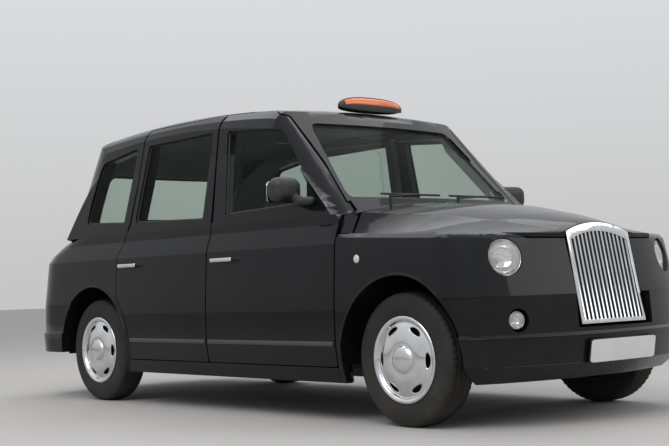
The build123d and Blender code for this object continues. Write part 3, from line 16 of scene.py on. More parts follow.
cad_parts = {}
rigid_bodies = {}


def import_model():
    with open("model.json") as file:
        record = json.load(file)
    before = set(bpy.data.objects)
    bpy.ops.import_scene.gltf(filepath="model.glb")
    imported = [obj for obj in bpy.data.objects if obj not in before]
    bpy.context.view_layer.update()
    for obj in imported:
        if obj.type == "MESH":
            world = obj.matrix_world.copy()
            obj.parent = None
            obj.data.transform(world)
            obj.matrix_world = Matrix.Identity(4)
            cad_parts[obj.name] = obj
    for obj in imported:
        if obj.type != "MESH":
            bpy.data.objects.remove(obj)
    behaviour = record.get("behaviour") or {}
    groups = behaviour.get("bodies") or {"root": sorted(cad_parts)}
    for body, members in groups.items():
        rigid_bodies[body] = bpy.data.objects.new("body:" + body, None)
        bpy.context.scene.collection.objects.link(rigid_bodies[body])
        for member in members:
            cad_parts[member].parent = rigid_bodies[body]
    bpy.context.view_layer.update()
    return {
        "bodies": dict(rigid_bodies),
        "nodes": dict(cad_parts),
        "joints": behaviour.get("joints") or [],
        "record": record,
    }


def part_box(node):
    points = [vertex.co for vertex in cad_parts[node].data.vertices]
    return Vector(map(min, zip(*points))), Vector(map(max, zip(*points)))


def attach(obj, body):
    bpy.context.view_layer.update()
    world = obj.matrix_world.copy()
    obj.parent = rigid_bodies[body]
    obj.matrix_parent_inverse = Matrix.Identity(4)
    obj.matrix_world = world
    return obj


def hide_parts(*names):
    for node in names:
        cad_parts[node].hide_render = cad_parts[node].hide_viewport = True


LOG = logging.getLogger("taxi")
ENDS = ("front", "rear")
FULL_TURN = 2 * math.pi
WELD = 1e-5
CAD_WELD = 2e-5
UP = (0.0, 0.0, 1.0)
Colour = tuple[float, float, float]
Place = tuple[float, float, float]
Shape = tuple[np.ndarray, np.ndarray]


class Side(Enum):
    """The cab's sides, by the sign of y."""

    RIGHT = -1.0
    LEFT = 1.0

    def __str__(self) -> str:
        """The side's word in the names of nodes and pieces."""
        return self.name.lower()

    @property
    def outwards(self) -> Place:
        """The direction away from the middle of the cab."""
        return (0.0, self.value, 0.0)

    @property
    def inwards(self) -> Place:
        """The direction towards the middle of the cab."""
        return (0.0, -self.value, 0.0)


# Shader maths
class Wire:
    """An output or a number in a material's node tree, with arithmetic."""

    def __init__(self, graph: "Graph", socket: bpy.types.NodeSocket) -> None:
        """Keeps the socket and the graph that it belongs to."""
        self.graph = graph
        self.socket = socket

    def _math(self, operation: str, first: object, second: object) -> "Wire":
        """Adds one Math node.

        Args:
            operation: the node's operation.
            first: a wire or a number.
            second: a wire or a number.

        Returns:
            The node's value.
        """
        return self.graph.add("ShaderNodeMath", {"operation": operation}, {0: first, 1: second})

    def __add__(self, other: object) -> "Wire":
        """Sum."""
        return self._math("ADD", self, other)

    def __radd__(self, other: object) -> "Wire":
        """Sum, the other way round."""
        return self._math("ADD", other, self)

    def __mul__(self, other: object) -> "Wire":
        """Product."""
        return self._math("MULTIPLY", self, other)

    def __rmul__(self, other: object) -> "Wire":
        """Product, the other way round."""
        return self._math("MULTIPLY", other, self)

    def sine(self) -> "Wire":
        """Sine."""
        return self._math("SINE", self, 0.0)

    def clamped(self) -> "Wire":
        """The value held between 0 and 1."""
        return self.graph.add("ShaderNodeClamp", {}, {"Value": self})

    def power(self, exponent: float) -> "Wire":
        """The value raised to a power."""
        return self._math("POWER", self, exponent)


class Graph:
    """Builds one node tree."""

    def __init__(self, tree: bpy.types.NodeTree) -> None:
        """Starts with an empty tree."""
        self.tree = tree
        self.tree.nodes.clear()

    def node(self, kind: str, settings: dict[str, object], inputs: dict[object, object]) -> bpy.types.Node:
        """Adds a node.

        Args:
            kind: the node's type.
            settings: attributes of the node; "stops" are a ramp's two (place, colour) pairs.
            inputs: socket name or number to a wire or a value.

        Returns:
            The node.
        """
        made = self.tree.nodes.new(kind)
        for key, value in settings.items():
            if key == "stops":
                for stop, (place, colour) in zip(made.color_ramp.elements, value):
                    stop.position = place
                    stop.color = (*colour, 1.0)
            else:
                setattr(made, key, value)
        for key, value in inputs.items():
            if isinstance(value, Wire):
                self.tree.links.new(value.socket, made.inputs[key])
            else:
                made.inputs[key].default_value = value
        return made

    def add(self, kind: str, settings: dict[str, object], inputs: dict[object, object],
            output: object = 0) -> Wire:
        """Adds a node and returns one of its outputs as a wire."""
        return Wire(self, self.node(kind, settings, inputs).outputs[output])


class Recipe(Graph):
    """Builds one material around a principled shader."""

    def __init__(self, name: str) -> None:
        """Starts a material that shows its shader alone."""
        self.material = bpy.data.materials.new(name)
        self.material.use_nodes = True
        super().__init__(self.material.node_tree)
        self.shader = self.node("ShaderNodeBsdfPrincipled", {}, {})
        self.output = self.node("ShaderNodeOutputMaterial", {}, {0: Wire(self, self.shader.outputs[0])})

    def place(self) -> Wire:
        """Object coordinates, in metres."""
        return self.add("ShaderNodeTexCoord", {}, {}, "Object")

    def axis(self, letter: str) -> Wire:
        """One object coordinate."""
        return self.add("ShaderNodeSeparateXYZ", {}, {0: self.place()}, letter)

    def noise(self, scale: float, detail: float = 4.0) -> Wire:
        """Soft noise between 0 and 1, with scale features a metre."""
        inputs = {"Vector": self.place(), "Scale": scale, "Detail": detail}
        return self.add("ShaderNodeTexNoise", {}, inputs)

    def steep(self, value: Wire, low: float, high: float) -> Wire:
        """The value spread from low..high to 0..1."""
        return self.add("ShaderNodeMapRange", {}, {0: value, 1: low, 2: high, 3: 0.0, 4: 1.0})

    def blend(self, share: Wire, first: object, second: object) -> Wire:
        """Mix of two colours.

        Args:
            share: how much of the second.
            first: colour or wire.
            second: colour or wire.

        Returns:
            The mixed colour.
        """
        parts = [(*part, 1.0) if isinstance(part, tuple) else part for part in (first, second)]
        inputs = {0: share, 6: parts[0], 7: parts[1]}
        return self.add("ShaderNodeMix", {"data_type": "RGBA"}, inputs, 2)

    def bump(self, height: Wire, depth: float) -> None:
        """Feeds the shader's normal with a relief of that depth in metres."""
        normal = self.add("ShaderNodeBump", {}, {"Strength": 1.0, "Distance": depth, "Height": height})
        self.feed("Normal", normal)

    def fix(self, **values: object) -> None:
        """Sets constants of the shader, underscores standing for spaces."""
        for key, value in values.items():
            socket = self.shader.inputs[key.replace("_", " ")]
            socket.default_value = (*value, 1.0) if isinstance(value, tuple) and len(value) == 3 else value

    def feed(self, name: str, wire: Wire) -> None:
        """Links a wire to the shader."""
        self.tree.links.new(wire.socket, self.shader.inputs[name])


# Finishes
@dataclass(frozen=True)
class Finish:
    """A solid finish: two colours in soft patches, uneven gloss, grain and road dust."""

    name: str
    colour: Colour
    worn: Colour
    gloss: tuple[float, float] = (0.3, 0.4)
    metallic: float = 0.0
    coat: float = 0.0
    patch_scale: float = 5.0
    grain_scale: float = 500.0
    grain_depth: float = 0.0
    dust: float = 0.0
    dust_top: float = 0.55
    glow: float = 0.0
    sheen_level: float = 0.5
    patch_band: tuple[float, float] = (0.35, 0.75)
    dust_foot: float = 0.12
    dust_scale: float = 9.0
    dust_band: tuple[float, float] = (0.25, 0.8)
    dust_dulling: float = 0.35
    coat_gloss: float = 0.025

    def build(self) -> bpy.types.Material:
        """Makes the material.

        Returns:
            The material, with patches blended from noise and dust thickening towards the ground.
        """
        recipe = Recipe(self.name)
        patches = recipe.steep(recipe.noise(self.patch_scale), *self.patch_band)
        colour = recipe.blend(patches, self.colour, self.worn)
        gloss = self.gloss[0] + patches * (self.gloss[1] - self.gloss[0])
        if self.dust:
            height = recipe.steep(recipe.axis("Z"), self.dust_top, self.dust_foot)
            cloud = recipe.steep(recipe.noise(self.dust_scale, 8.0), *self.dust_band)
            film = (height * cloud * self.dust).clamped()
            colour = recipe.blend(film, colour, DUST)
            gloss = gloss + film * self.dust_dulling
        recipe.feed("Base Color", colour)
        recipe.feed("Roughness", gloss.clamped())
        recipe.fix(Metallic=self.metallic, Coat_Weight=self.coat, Coat_Roughness=self.coat_gloss,
                   Specular_IOR_Level=self.sheen_level)
        if self.grain_depth:
            recipe.bump(recipe.noise(self.grain_scale, 2.0), self.grain_depth)
        if self.glow:
            recipe.fix(Emission_Strength=self.glow)
            recipe.feed("Emission Color", colour)
        return recipe.material


@dataclass(frozen=True)
class Pane:
    """A see-through finish: tinted and clear, with gloss that grows towards grazing."""

    name: str
    tint: Colour
    gloss: float = 0.02
    body: float = 0.06
    ripple: float = 0.0
    milk: float = 0.04
    smear_scale: float = 3.0
    smear_share: float = 0.02
    straight_share: float = 0.03
    grazing_share: float = 0.9
    grazing_power: float = 5.0
    ripple_depth: float = 0.0006

    def build(self) -> bpy.types.Material:
        """Makes the material.

        Returns:
            A mix of a tinted clear shader and a glossy one. The glossy share is straight_share + body, and
            rises with the angle of view by grazing_share times its facing value to the grazing_power.
        """
        recipe = Recipe(self.name)
        smear = recipe.noise(self.smear_scale, 6.0)
        inner = tuple(self.milk * part for part in self.tint)
        recipe.feed("Base Color", recipe.blend(smear, inner, tuple(0.8 * part for part in inner)))
        recipe.feed("Roughness", self.gloss + smear * self.smear_share)
        recipe.fix(Specular_IOR_Level=0.5)
        clear = recipe.add("ShaderNodeBsdfTransparent", {}, {"Color": (*self.tint, 1.0)})
        grazing = recipe.add("ShaderNodeLayerWeight", {}, {"Blend": 0.5}, "Facing")
        share = grazing.power(self.grazing_power) * self.grazing_share + smear * self.smear_share
        share = (share + self.straight_share + self.body).clamped()
        if self.ripple:
            recipe.bump((recipe.axis("Y") * self.ripple).sine(), self.ripple_depth)
        glossy = Wire(recipe, recipe.shader.outputs[0])
        mixed = recipe.add("ShaderNodeMixShader", {}, {0: share, 1: clear, 2: glossy})
        recipe.tree.links.new(mixed.socket, recipe.output.inputs[0])
        return recipe.material


@dataclass(frozen=True)
class Cloth:
    """Woven upholstery with a fine over-and-under pattern."""

    name: str
    colour: Colour
    thread: Colour
    pitch: float = 900.0
    gloss: tuple[float, float] = (0.8, 0.92)
    relief: float = 0.0004
    fleck_scale: float = 260.0
    fleck_band: tuple[float, float] = (0.5, 0.62)
    fleck_share: float = 0.5
    wear_scale: float = 4.0
    wear_band: tuple[float, float] = (0.4, 0.8)
    wear_share: float = 0.4
    wear_gain: float = 1.5
    sheen: float = 0.25

    def build(self) -> bpy.types.Material:
        """Makes the material.

        Returns:
            Cloth whose weave is the product of two sine waves along and across, with a third upwards.
        """
        recipe = Recipe(self.name)
        along, across, upwards = ((recipe.axis(letter) * self.pitch).sine() for letter in "XYZ")
        worn = recipe.steep(recipe.noise(self.wear_scale), *self.wear_band)
        fleck = recipe.steep(recipe.noise(self.fleck_scale, 2.0), *self.fleck_band)
        colour = recipe.blend(fleck * self.fleck_share, self.colour, self.thread)
        faded = tuple(self.wear_gain * part for part in self.colour)
        recipe.feed("Base Color", recipe.blend(worn * self.wear_share, colour, faded))
        recipe.feed("Roughness", self.gloss[0] + worn * (self.gloss[1] - self.gloss[0]))
        recipe.bump(along * across + upwards * 0.6, self.relief)
        recipe.fix(Sheen_Weight=self.sheen)
        return recipe.material


DUST: Colour = (0.16, 0.135, 0.11)
FINISHES = {
    "paint": Finish("gloss_black_paint", (0.0045, 0.005, 0.0065), (0.006, 0.0065, 0.008), (0.2, 0.28),
                    coat=0.4, patch_scale=2.0, dust=0.03, sheen_level=0.05),
    "chrome": Finish("chrome_plate", (0.72, 0.73, 0.74), (0.6, 0.61, 0.62), (0.05, 0.12), metallic=1.0,
                     patch_scale=14.0, dust=0.12),
    "bumper": Finish("bumper_plastic", (0.006, 0.006, 0.007), (0.009, 0.009, 0.010), (0.22, 0.32), coat=0.25,
                     grain_scale=900.0, grain_depth=0.0001, dust=0.06, sheen_level=0.12),
    "mirror_case": Finish("grained_black_plastic", (0.012, 0.012, 0.013), (0.02, 0.02, 0.021), (0.42, 0.55),
                          grain_scale=1200.0, grain_depth=0.0005),
    "rubber": Finish("window_rubber", (0.012, 0.012, 0.012), (0.022, 0.022, 0.021), (0.6, 0.75),
                     grain_scale=700.0, grain_depth=0.0002),
    "strip": Finish("rubbing_strip", (0.035, 0.036, 0.038), (0.055, 0.055, 0.055), (0.4, 0.55),
                    grain_scale=900.0, grain_depth=0.0002, dust=0.15),
    "tyre": Finish("tyre_rubber", (0.010, 0.010, 0.010), (0.020, 0.019, 0.017), (0.6, 0.8),
                   grain_scale=400.0, grain_depth=0.0003, dust=0.22, dust_top=0.7, sheen_level=0.3),
    "iron": Finish("painted_casting", (0.02, 0.02, 0.02), (0.06, 0.04, 0.03), (0.6, 0.85),
                   grain_scale=250.0, grain_depth=0.0008, dust=0.6),
    "frame": Finish("underbody_paint", (0.014, 0.014, 0.015), (0.03, 0.026, 0.022), (0.55, 0.8),
                    grain_scale=200.0, grain_depth=0.0008, dust=0.6),
    "exhaust": Finish("exhaust_steel", (0.30, 0.28, 0.26), (0.20, 0.13, 0.09), (0.4, 0.65), metallic=0.9,
                      grain_scale=300.0, grain_depth=0.0003, dust=0.3),
    "trim": Finish("cabin_plastic", (0.035, 0.036, 0.038), (0.05, 0.05, 0.052), (0.5, 0.62),
                   grain_scale=900.0, grain_depth=0.0005),
    "lining": Finish("pale_lining", (0.30, 0.30, 0.29), (0.36, 0.35, 0.34), (0.7, 0.8),
                     grain_scale=600.0, grain_depth=0.0004),
    "carpet": Finish("floor_covering", (0.03, 0.03, 0.033), (0.055, 0.05, 0.047), (0.75, 0.9),
                     grain_scale=500.0, grain_depth=0.0012),
    "plate": Finish("blank_white_plate", (0.72, 0.73, 0.72), (0.64, 0.65, 0.63), (0.3, 0.4), dust=0.1,
                    grain_scale=2500.0, grain_depth=0.0001),
    "rear_plate": Finish("blank_yellow_plate", (0.75, 0.52, 0.04), (0.66, 0.45, 0.04), (0.3, 0.4), dust=0.1,
                         grain_scale=2500.0, grain_depth=0.0001),
    "reflector": Finish("lamp_reflector", (0.85, 0.86, 0.87), (0.75, 0.76, 0.77), (0.08, 0.16), metallic=1.0,
                        patch_scale=30.0),
    "bulb": Finish("frosted_bulb", (0.8, 0.8, 0.78), (0.7, 0.7, 0.68), (0.1, 0.2), patch_scale=40.0),
    "red": Finish("red_lamp", (0.36, 0.012, 0.012), (0.28, 0.008, 0.008), (0.08, 0.14), coat=0.6,
                  patch_scale=20.0),
    "amber": Finish("amber_lamp", (0.75, 0.25, 0.02), (0.62, 0.19, 0.015), (0.1, 0.2), coat=0.5,
                    patch_scale=20.0),
    "sign": Finish("sign_lens_orange", (0.62, 0.115, 0.02), (0.72, 0.17, 0.03), (0.12, 0.2), coat=0.5,
                   patch_scale=8.0, glow=0.25),
    "looking_glass": Finish("mirror_glass", (0.82, 0.84, 0.85), (0.76, 0.78, 0.79), (0.02, 0.05),
                            metallic=1.0, patch_scale=20.0),
    "window": Pane("green_window_glass", (0.86, 0.905, 0.875), body=0.012),
    "screen": Pane("clear_partition", (0.94, 0.96, 0.95), body=0.01),
    "lens": Pane("lamp_lens", (0.96, 0.955, 0.93), gloss=0.04, body=0.30, ripple=420.0, milk=0.85),
    "ring": Finish("lamp_surround", (0.055, 0.057, 0.06), (0.075, 0.077, 0.08), (0.3, 0.42), patch_scale=20.0,
                   grain_scale=900.0, grain_depth=0.0002),
    "reverse": Finish("clear_lamp", (0.62, 0.63, 0.63), (0.52, 0.53, 0.53), (0.08, 0.16), coat=0.6,
                      patch_scale=20.0),
    "seat": Cloth("seat_cloth", (0.022, 0.024, 0.032), (0.07, 0.075, 0.10)),
}


class Wardrobe:
    """Makes each finish once and hands it out by name."""

    def __init__(self) -> None:
        """Starts with nothing made."""
        self.made: dict[str, bpy.types.Material] = {}

    def __getitem__(self, name: str) -> bpy.types.Material:
        """The material of that finish."""
        if name not in self.made:
            self.made[name] = FINISHES[name].build()
        return self.made[name]


# Reading and making meshes
def read(items: bpy.types.bpy_prop_collection, name: str, width: int = 1, kind: type = float) -> np.ndarray:
    """One attribute of every item of a mesh, such as the places of its vertices.

    Args:
        items: the vertices, corners or faces.
        name: the attribute.
        width: numbers that each item has.
        kind: type of the numbers.

    Returns:
        A line of numbers, or n by width where the width is more than 1.
    """
    values = np.empty(width * len(items), dtype=kind)
    items.foreach_get(name, values)
    return values.reshape(-1, width) if width > 1 else values


def linked(name: str, data: bpy.types.ID) -> bpy.types.Object:
    """A new object in the scene that holds some data."""
    made = bpy.data.objects.new(name, data)
    bpy.context.scene.collection.objects.link(made)
    return made


def corners_of(node: str) -> Shape:
    """The lowest and highest corner of a CAD node."""
    low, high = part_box(node)
    return np.array(low), np.array(high)


def smoothed(mesh: bpy.types.Mesh, smooth: bool = True) -> None:
    """Sets whether every face shades smoothly."""
    mesh.polygons.foreach_set("use_smooth", np.full(len(mesh.polygons), smooth))


def to_object(name: str, points: np.ndarray, faces: np.ndarray, smooth: bool = True) -> bpy.types.Object:
    """Puts points and faces into a new object at the origin.

    Args:
        name: the object's name.
        points: vertices, n by 3, in metres.
        faces: corner numbers, m by 3 or m by 4.
        smooth: whether faces shade smoothly.

    Returns:
        The object, its doubles merged and its faces pointing outwards.
    """
    mesh = bpy.data.meshes.new(name)
    mesh.from_pydata(points.reshape(-1, 3).tolist(), [], faces.tolist())
    work = bmesh.new()
    work.from_mesh(mesh)
    bmesh.ops.remove_doubles(work, verts=work.verts, dist=WELD)
    bmesh.ops.recalc_face_normals(work, faces=work.faces)
    work.to_mesh(mesh)
    work.free()
    smoothed(mesh, smooth)
    return linked(name, mesh)


def welded(source: bpy.types.Object, flat_deg: float) -> bmesh.types.BMesh:
    """A CAD node's mesh with its loose triangles merged.

    Args:
        source: the CAD node's object.
        flat_deg: triangles that meet at less become one face.

    Returns:
        The new mesh.
    """
    work = bmesh.new()
    work.from_mesh(source.data)
    bmesh.ops.remove_doubles(work, verts=work.verts, dist=CAD_WELD)
    bmesh.ops.dissolve_limit(work, angle_limit=math.radians(flat_deg), verts=work.verts, edges=work.edges)
    return work


# Shapes worked out as arrays
def grid_faces(rows: int, columns: int, wrap_rows: bool = False, wrap_columns: bool = False) -> np.ndarray:
    """Quads between neighbouring points of a grid, whose point (i, j) is number i * columns + j.

    Args:
        rows: points along the first way.
        columns: points along the second way.
        wrap_rows: whether the last row meets the first.
        wrap_columns: whether the last column meets the first.

    Returns:
        Corner numbers, m by 4.
    """
    i = np.arange(rows if wrap_rows else rows - 1)[:, None]
    j = np.arange(columns if wrap_columns else columns - 1)[None, :]
    next_i = (i + 1) % rows
    next_j = (j + 1) % columns
    corners = (i * columns + j, next_i * columns + j, next_i * columns + next_j, i * columns + next_j)
    return np.stack([np.broadcast_to(c, (i.shape[0], j.shape[1])) for c in corners], axis=-1).reshape(-1, 4)


def smooth_profile(knots: np.ndarray, steps: int | Sequence[int]) -> np.ndarray:
    """A smooth line through knots: Catmull-Rom spans, each a cubic whose end slopes are half the
    distance between the knots on either side.

    Args:
        knots: n by 2 or n by 3.
        steps: points on each span, one number for all or one for each.

    Returns:
        Points along the line.
    """
    padded = np.vstack([2 * knots[0] - knots[1], knots, 2 * knots[-1] - knots[-2]])
    counts = np.broadcast_to(steps, len(knots) - 1)
    spans = []
    for a, b, c, d, count in zip(padded[:-3], padded[1:-2], padded[2:-1], padded[3:], counts):
        t = np.linspace(0.0, 1.0, int(count), endpoint=False)[:, None]
        square = 2 * a - 5 * b + 4 * c - d
        cube = 3 * b - a - 3 * c + d
        spans.append(0.5 * (2 * b + (c - a) * t + square * t**2 + cube * t**3))
    return np.vstack([*spans, knots[-1:]])


def even(line: np.ndarray, step: float) -> np.ndarray:
    """A closed line's points spread evenly along it.

    Args:
        line: n by 3.
        step: spacing in metres.

    Returns:
        The new points, 12 or more.
    """
    closed = np.vstack([line, line[:1]])
    length = np.concatenate([[0.0], np.cumsum(np.linalg.norm(np.diff(closed, axis=0), axis=1))])
    places = np.linspace(0.0, length[-1], max(12, int(length[-1] / step)), endpoint=False)
    return np.stack([np.interp(places, length, closed[:, k]) for k in range(3)], axis=1)


def lathe(profile: np.ndarray, turns: int, relief: np.ndarray | None = None) -> Shape:
    """A profile turned about the axis x.

    The point at turn angle a is (along, r cos a, r sin a), with r lowered by the relief.

    Args:
        profile: n by 2, distance along the axis and radius.
        turns: steps in a full turn.
        relief: turns by n depths taken off the radius.

    Returns:
        Points (turns by n by 3) and faces.
    """
    angle = np.linspace(0.0, FULL_TURN, turns, endpoint=False)[:, None]
    radius = profile[None, :, 1] - (0.0 if relief is None else relief)
    along = np.broadcast_to(profile[None, :, 0], (turns, len(profile)))
    points = np.stack([along, radius * np.cos(angle), radius * np.sin(angle)], axis=-1)
    return points, grid_faces(turns, len(profile), wrap_rows=True)


def sweep(path: np.ndarray, section: np.ndarray, up: np.ndarray, closed: bool) -> Shape:
    """A closed section carried along a path.

    Each section point (a, b) goes to path + a * side + b * top, where top is the up direction made
    square to the path and side is square to both.

    Args:
        path: n by 3.
        section: m by 2, going once round.
        up: one direction, or one for each point of the path.
        closed: whether the path's end meets its start.

    Returns:
        Points and faces, with capped ends on an open path.
    """
    ahead = np.roll(path, -1, axis=0) - np.roll(path, 1, axis=0)
    if not closed:
        ahead[0] = path[1] - path[0]
        ahead[-1] = path[-1] - path[-2]
    ahead /= np.linalg.norm(ahead, axis=1, keepdims=True)
    up = np.broadcast_to(up, path.shape)
    side = np.cross(ahead, up)
    side /= np.linalg.norm(side, axis=1, keepdims=True)
    top = np.cross(side, ahead)
    points = path[:, None] + section[None, :, :1] * side[:, None] + section[None, :, 1:] * top[:, None]
    if not closed:
        middles = points.mean(axis=1, keepdims=True).repeat(len(section), axis=1)
        points = np.concatenate([middles[:1], points, middles[-1:]])
    return points, grid_faces(len(points), len(section), wrap_rows=closed, wrap_columns=True)


def ring(count: int, width: float, height: float, power: float = 1.0) -> np.ndarray:
    """A rounded section: sign(cos) |cos|^power across and the same with sine up.

    Args:
        count: points.
        width: half the size across.
        height: half the size up.
        power: 1 is an ellipse, and less is squarer.

    Returns:
        count by 2 points.
    """
    angle = np.linspace(0.0, FULL_TURN, count, endpoint=False)
    wave = np.stack([np.cos(angle), np.sin(angle)], axis=1)
    return np.sign(wave) * np.abs(wave) ** power * np.array([width, height])


def pillow(count: int, size: Place, squareness: float, crown: float) -> Shape:
    """A crowned pad about the origin: a sphere's directions pushed out to a rounded box.

    Each coordinate is sign(d) |d|^squareness of the direction d, times half the size, and the top and
    bottom swell by crown times (1 - x^2)(1 - y^2).

    Args:
        count: steps round and over.
        size: full size along x, y and z.
        squareness: 1 is an ellipsoid, and less is squarer.
        crown: swell of the middle, in metres.

    Returns:
        Points and faces.
    """
    over = np.linspace(0.0, math.pi, count)[:, None]
    turn = np.linspace(0.0, FULL_TURN, 2 * count, endpoint=False)[None, :]
    parts = (np.sin(over) * np.cos(turn), np.sin(over) * np.sin(turn), np.cos(over) + 0 * turn)
    way = np.stack(parts, axis=-1)
    box = np.sign(way) * np.abs(way) ** squareness
    swell = crown * (1 - np.clip(box[..., 0] ** 2, 0, 1)) * (1 - np.clip(box[..., 1] ** 2, 0, 1))
    points = box * (np.array(size) / 2)
    points[..., 2] += swell * np.sign(box[..., 2])
    return points, grid_faces(count, 2 * count, wrap_columns=True)


def plaque(width: float, height: float, rows: tuple, power: float, count: int = 96) -> Shape:
    """A flat piece about the axis x: a rounded outline drawn at several depths, closed at both ends.

    Args:
        width: half the size along y.
        height: half the size along z.
        rows: (depth along x, how far the outline is drawn in) pairs.
        power: squareness of the outline, as in ring.
        count: points round the outline.

    Returns:
        Points and faces.
    """
    lines = []
    for depth, inset in rows:
        outline = ring(count, width - inset, height - inset, power)
        lines.append(np.column_stack([np.full(count, depth), outline]))
    first, last = (np.broadcast_to(line.mean(axis=0), line.shape) for line in (lines[0], lines[-1]))
    points = np.stack([first, *lines, last])
    return points, grid_faces(len(points), count, wrap_columns=True)


def laid(points: np.ndarray, place: np.ndarray, way: np.ndarray) -> np.ndarray:
    """Points about the axis x, turned so that x runs along a direction and z stays as upright as it can."""
    ahead = np.asarray(way) / np.linalg.norm(way)
    side = np.cross(UP, ahead)
    side /= np.linalg.norm(side)
    axes = np.stack([ahead, side, np.cross(ahead, side)])
    return points @ axes + place


class Probe:
    """Finds where a straight line from outside first meets some CAD nodes."""

    def __init__(self, frame: dict, *nodes: str) -> None:
        """Gathers the nodes' faces, which are triangles, into one search tree."""
        points: list[list[float]] = []
        faces: list[list[int]] = []
        for node in nodes:
            mesh = frame["nodes"][node].data
            triangles = read(mesh.loops, "vertex_index", kind=np.int32).reshape(-1, 3)
            faces.extend((triangles + len(points)).tolist())
            points.extend(read(mesh.vertices, "co", 3).tolist())
        self.tree = BVHTree.FromPolygons(points, faces)

    def meet(self, start: Place, way: Place) -> Shape | None:
        """The first point met from a start along a way, and the surface's direction there."""
        place, normal, _, _ = self.tree.ray_cast(Vector(start), Vector(way))
        if place is None:
            return None
        return np.array(place), np.array(normal)

    def flank(self, x: float, z: float, side: Side) -> Shape | None:
        """The point met from one side of the cab."""
        return self.meet((x, 2.0 * side.value, z), side.inwards)


LINED_FACING = 0.4


class Workshop:
    """Fits finished pieces to the frame."""

    def __init__(self, frame: dict) -> None:
        """Reads which body each node rides on."""
        self.frame = frame
        self.finish = Wardrobe()
        bodies = frame["record"]["behaviour"]["bodies"]
        self.body_of = {node: body for body, nodes in bodies.items() for node in nodes}

    def fit(self, piece: bpy.types.Object, body: str, finish: str, slot: str, *nodes: str) -> None:
        """Dresses a piece and lets it ride.

        Args:
            piece: the finished object.
            body: the body it moves with.
            finish: the finish's name.
            slot: the record's material slot; not used.
            nodes: CAD nodes that it stands for.
        """
        piece.data.materials.clear()
        piece.data.materials.append(self.finish[finish])
        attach(piece, body)
        if nodes:
            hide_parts(*nodes)
        LOG.info("piece %s: %d faces on %s", piece.name, len(piece.data.polygons), body)

    def line(self, piece: bpy.types.Object, finish: str, way: Place) -> None:
        """Gives the faces that look a certain way a second finish.

        Args:
            piece: the dressed piece.
            finish: the lining's finish.
            way: the direction that the lined faces look.
        """
        lined = read(piece.data.polygons, "normal", 3) @ np.array(way) > LINED_FACING
        self.band(piece, lined.astype(np.int32), finish)

    def band(self, piece: bpy.types.Object, numbers: np.ndarray, *finishes: str) -> None:
        """Adds finishes to a dressed piece and gives each face its number, 0 being the first finish."""
        for finish in finishes:
            piece.data.materials.append(self.finish[finish])
        piece.data.polygons.foreach_set("material_index", numbers)

    def dress(self, node: str, finish: str) -> None:
        """Gives a CAD node a finish."""
        shown = self.frame["nodes"][node]
        for slot in shown.material_slots:
            slot.link = "OBJECT"
            slot.material = self.finish[finish]
        LOG.info("node %s: %s", node, finish)


# Copies of CAD pieces with even shading
SLICE_OFFSET = 0.371
SKIN_FLAT_DEG = 0.3
CORNER_CREASE = 1.3


def sliced(work: bmesh.types.BMesh, cell: float) -> None:
    """Cuts a mesh by planes a cell apart along x, y and z, so that its faces are small."""
    corners = np.array([v.co for v in work.verts])
    low, high = corners.min(axis=0), corners.max(axis=0)
    for axis, normal in enumerate(np.eye(3)):
        first = math.floor(low[axis] / cell) * cell + cell * SLICE_OFFSET
        places = np.arange(first, high[axis], cell)
        for place in places[places > low[axis]]:
            split(work, place * normal, normal)


def split(work: bmesh.types.BMesh, at: np.ndarray, normal: np.ndarray) -> None:
    """Cuts every face that a plane crosses along it."""
    every = work.verts[:] + work.edges[:] + work.faces[:]
    bmesh.ops.bisect_plane(work, geom=every, dist=WELD, plane_co=at.tolist(), plane_no=normal.tolist())


def relaxed_normals(work: bmesh.types.BMesh, crease: float, passes: int) -> np.ndarray:
    """Face normals evened out over neighbours that meet at less than the crease angle.

    Each pass replaces a normal by the sum of itself and those of its smooth neighbours.

    Args:
        work: the mesh.
        crease: angle in radians.
        passes: how often.

    Returns:
        One unit normal for each face.
    """
    normals = np.array([f.normal for f in work.faces])
    pairs = np.array([[f.index for f in e.link_faces] for e in work.edges if len(e.link_faces) == 2])
    flat = np.einsum("ij,ij->i", normals[pairs[:, 0]], normals[pairs[:, 1]]) > math.cos(crease)
    one, other = pairs[flat].T
    for _ in range(passes):
        total = normals * 2.0
        np.add.at(total, one, normals[other])
        np.add.at(total, other, normals[one])
        normals = total / np.linalg.norm(total, axis=1, keepdims=True)
    return normals


def corner_normals(mesh: bpy.types.Mesh, faces: np.ndarray, crease: float) -> np.ndarray:
    """A normal for each face corner: the mean of the faces round its vertex that turn by less than a crease.

    Args:
        mesh: the mesh.
        faces: a unit normal for each face.
        crease: angle in radians.

    Returns:
        One unit normal for each corner.
    """
    count = len(mesh.loops)
    vertex = read(mesh.loops, "vertex_index", kind=np.int32)
    sizes = read(mesh.polygons, "loop_total", kind=np.int32)
    face = np.repeat(np.arange(len(sizes)), sizes)
    order = np.argsort(vertex, kind="stable")
    starts = np.searchsorted(vertex[order], vertex[order])
    ends = np.searchsorted(vertex[order], vertex[order], side="right")
    rank = np.arange(count) - starts
    own = faces[face[order]]
    total = np.zeros((count, 3))
    for step in range(int((ends - starts).max())):
        held = step < ends - starts
        partner = starts + (rank + step) % np.maximum(ends - starts, 1)
        near = faces[face[order[np.minimum(partner, count - 1)]]]
        alike = np.einsum("ij,ij->i", own, near) > math.cos(crease)
        total += near * (held & alike)[:, None]
    total /= np.linalg.norm(total, axis=1, keepdims=True)
    result = np.empty((count, 3))
    result[order] = total
    return result


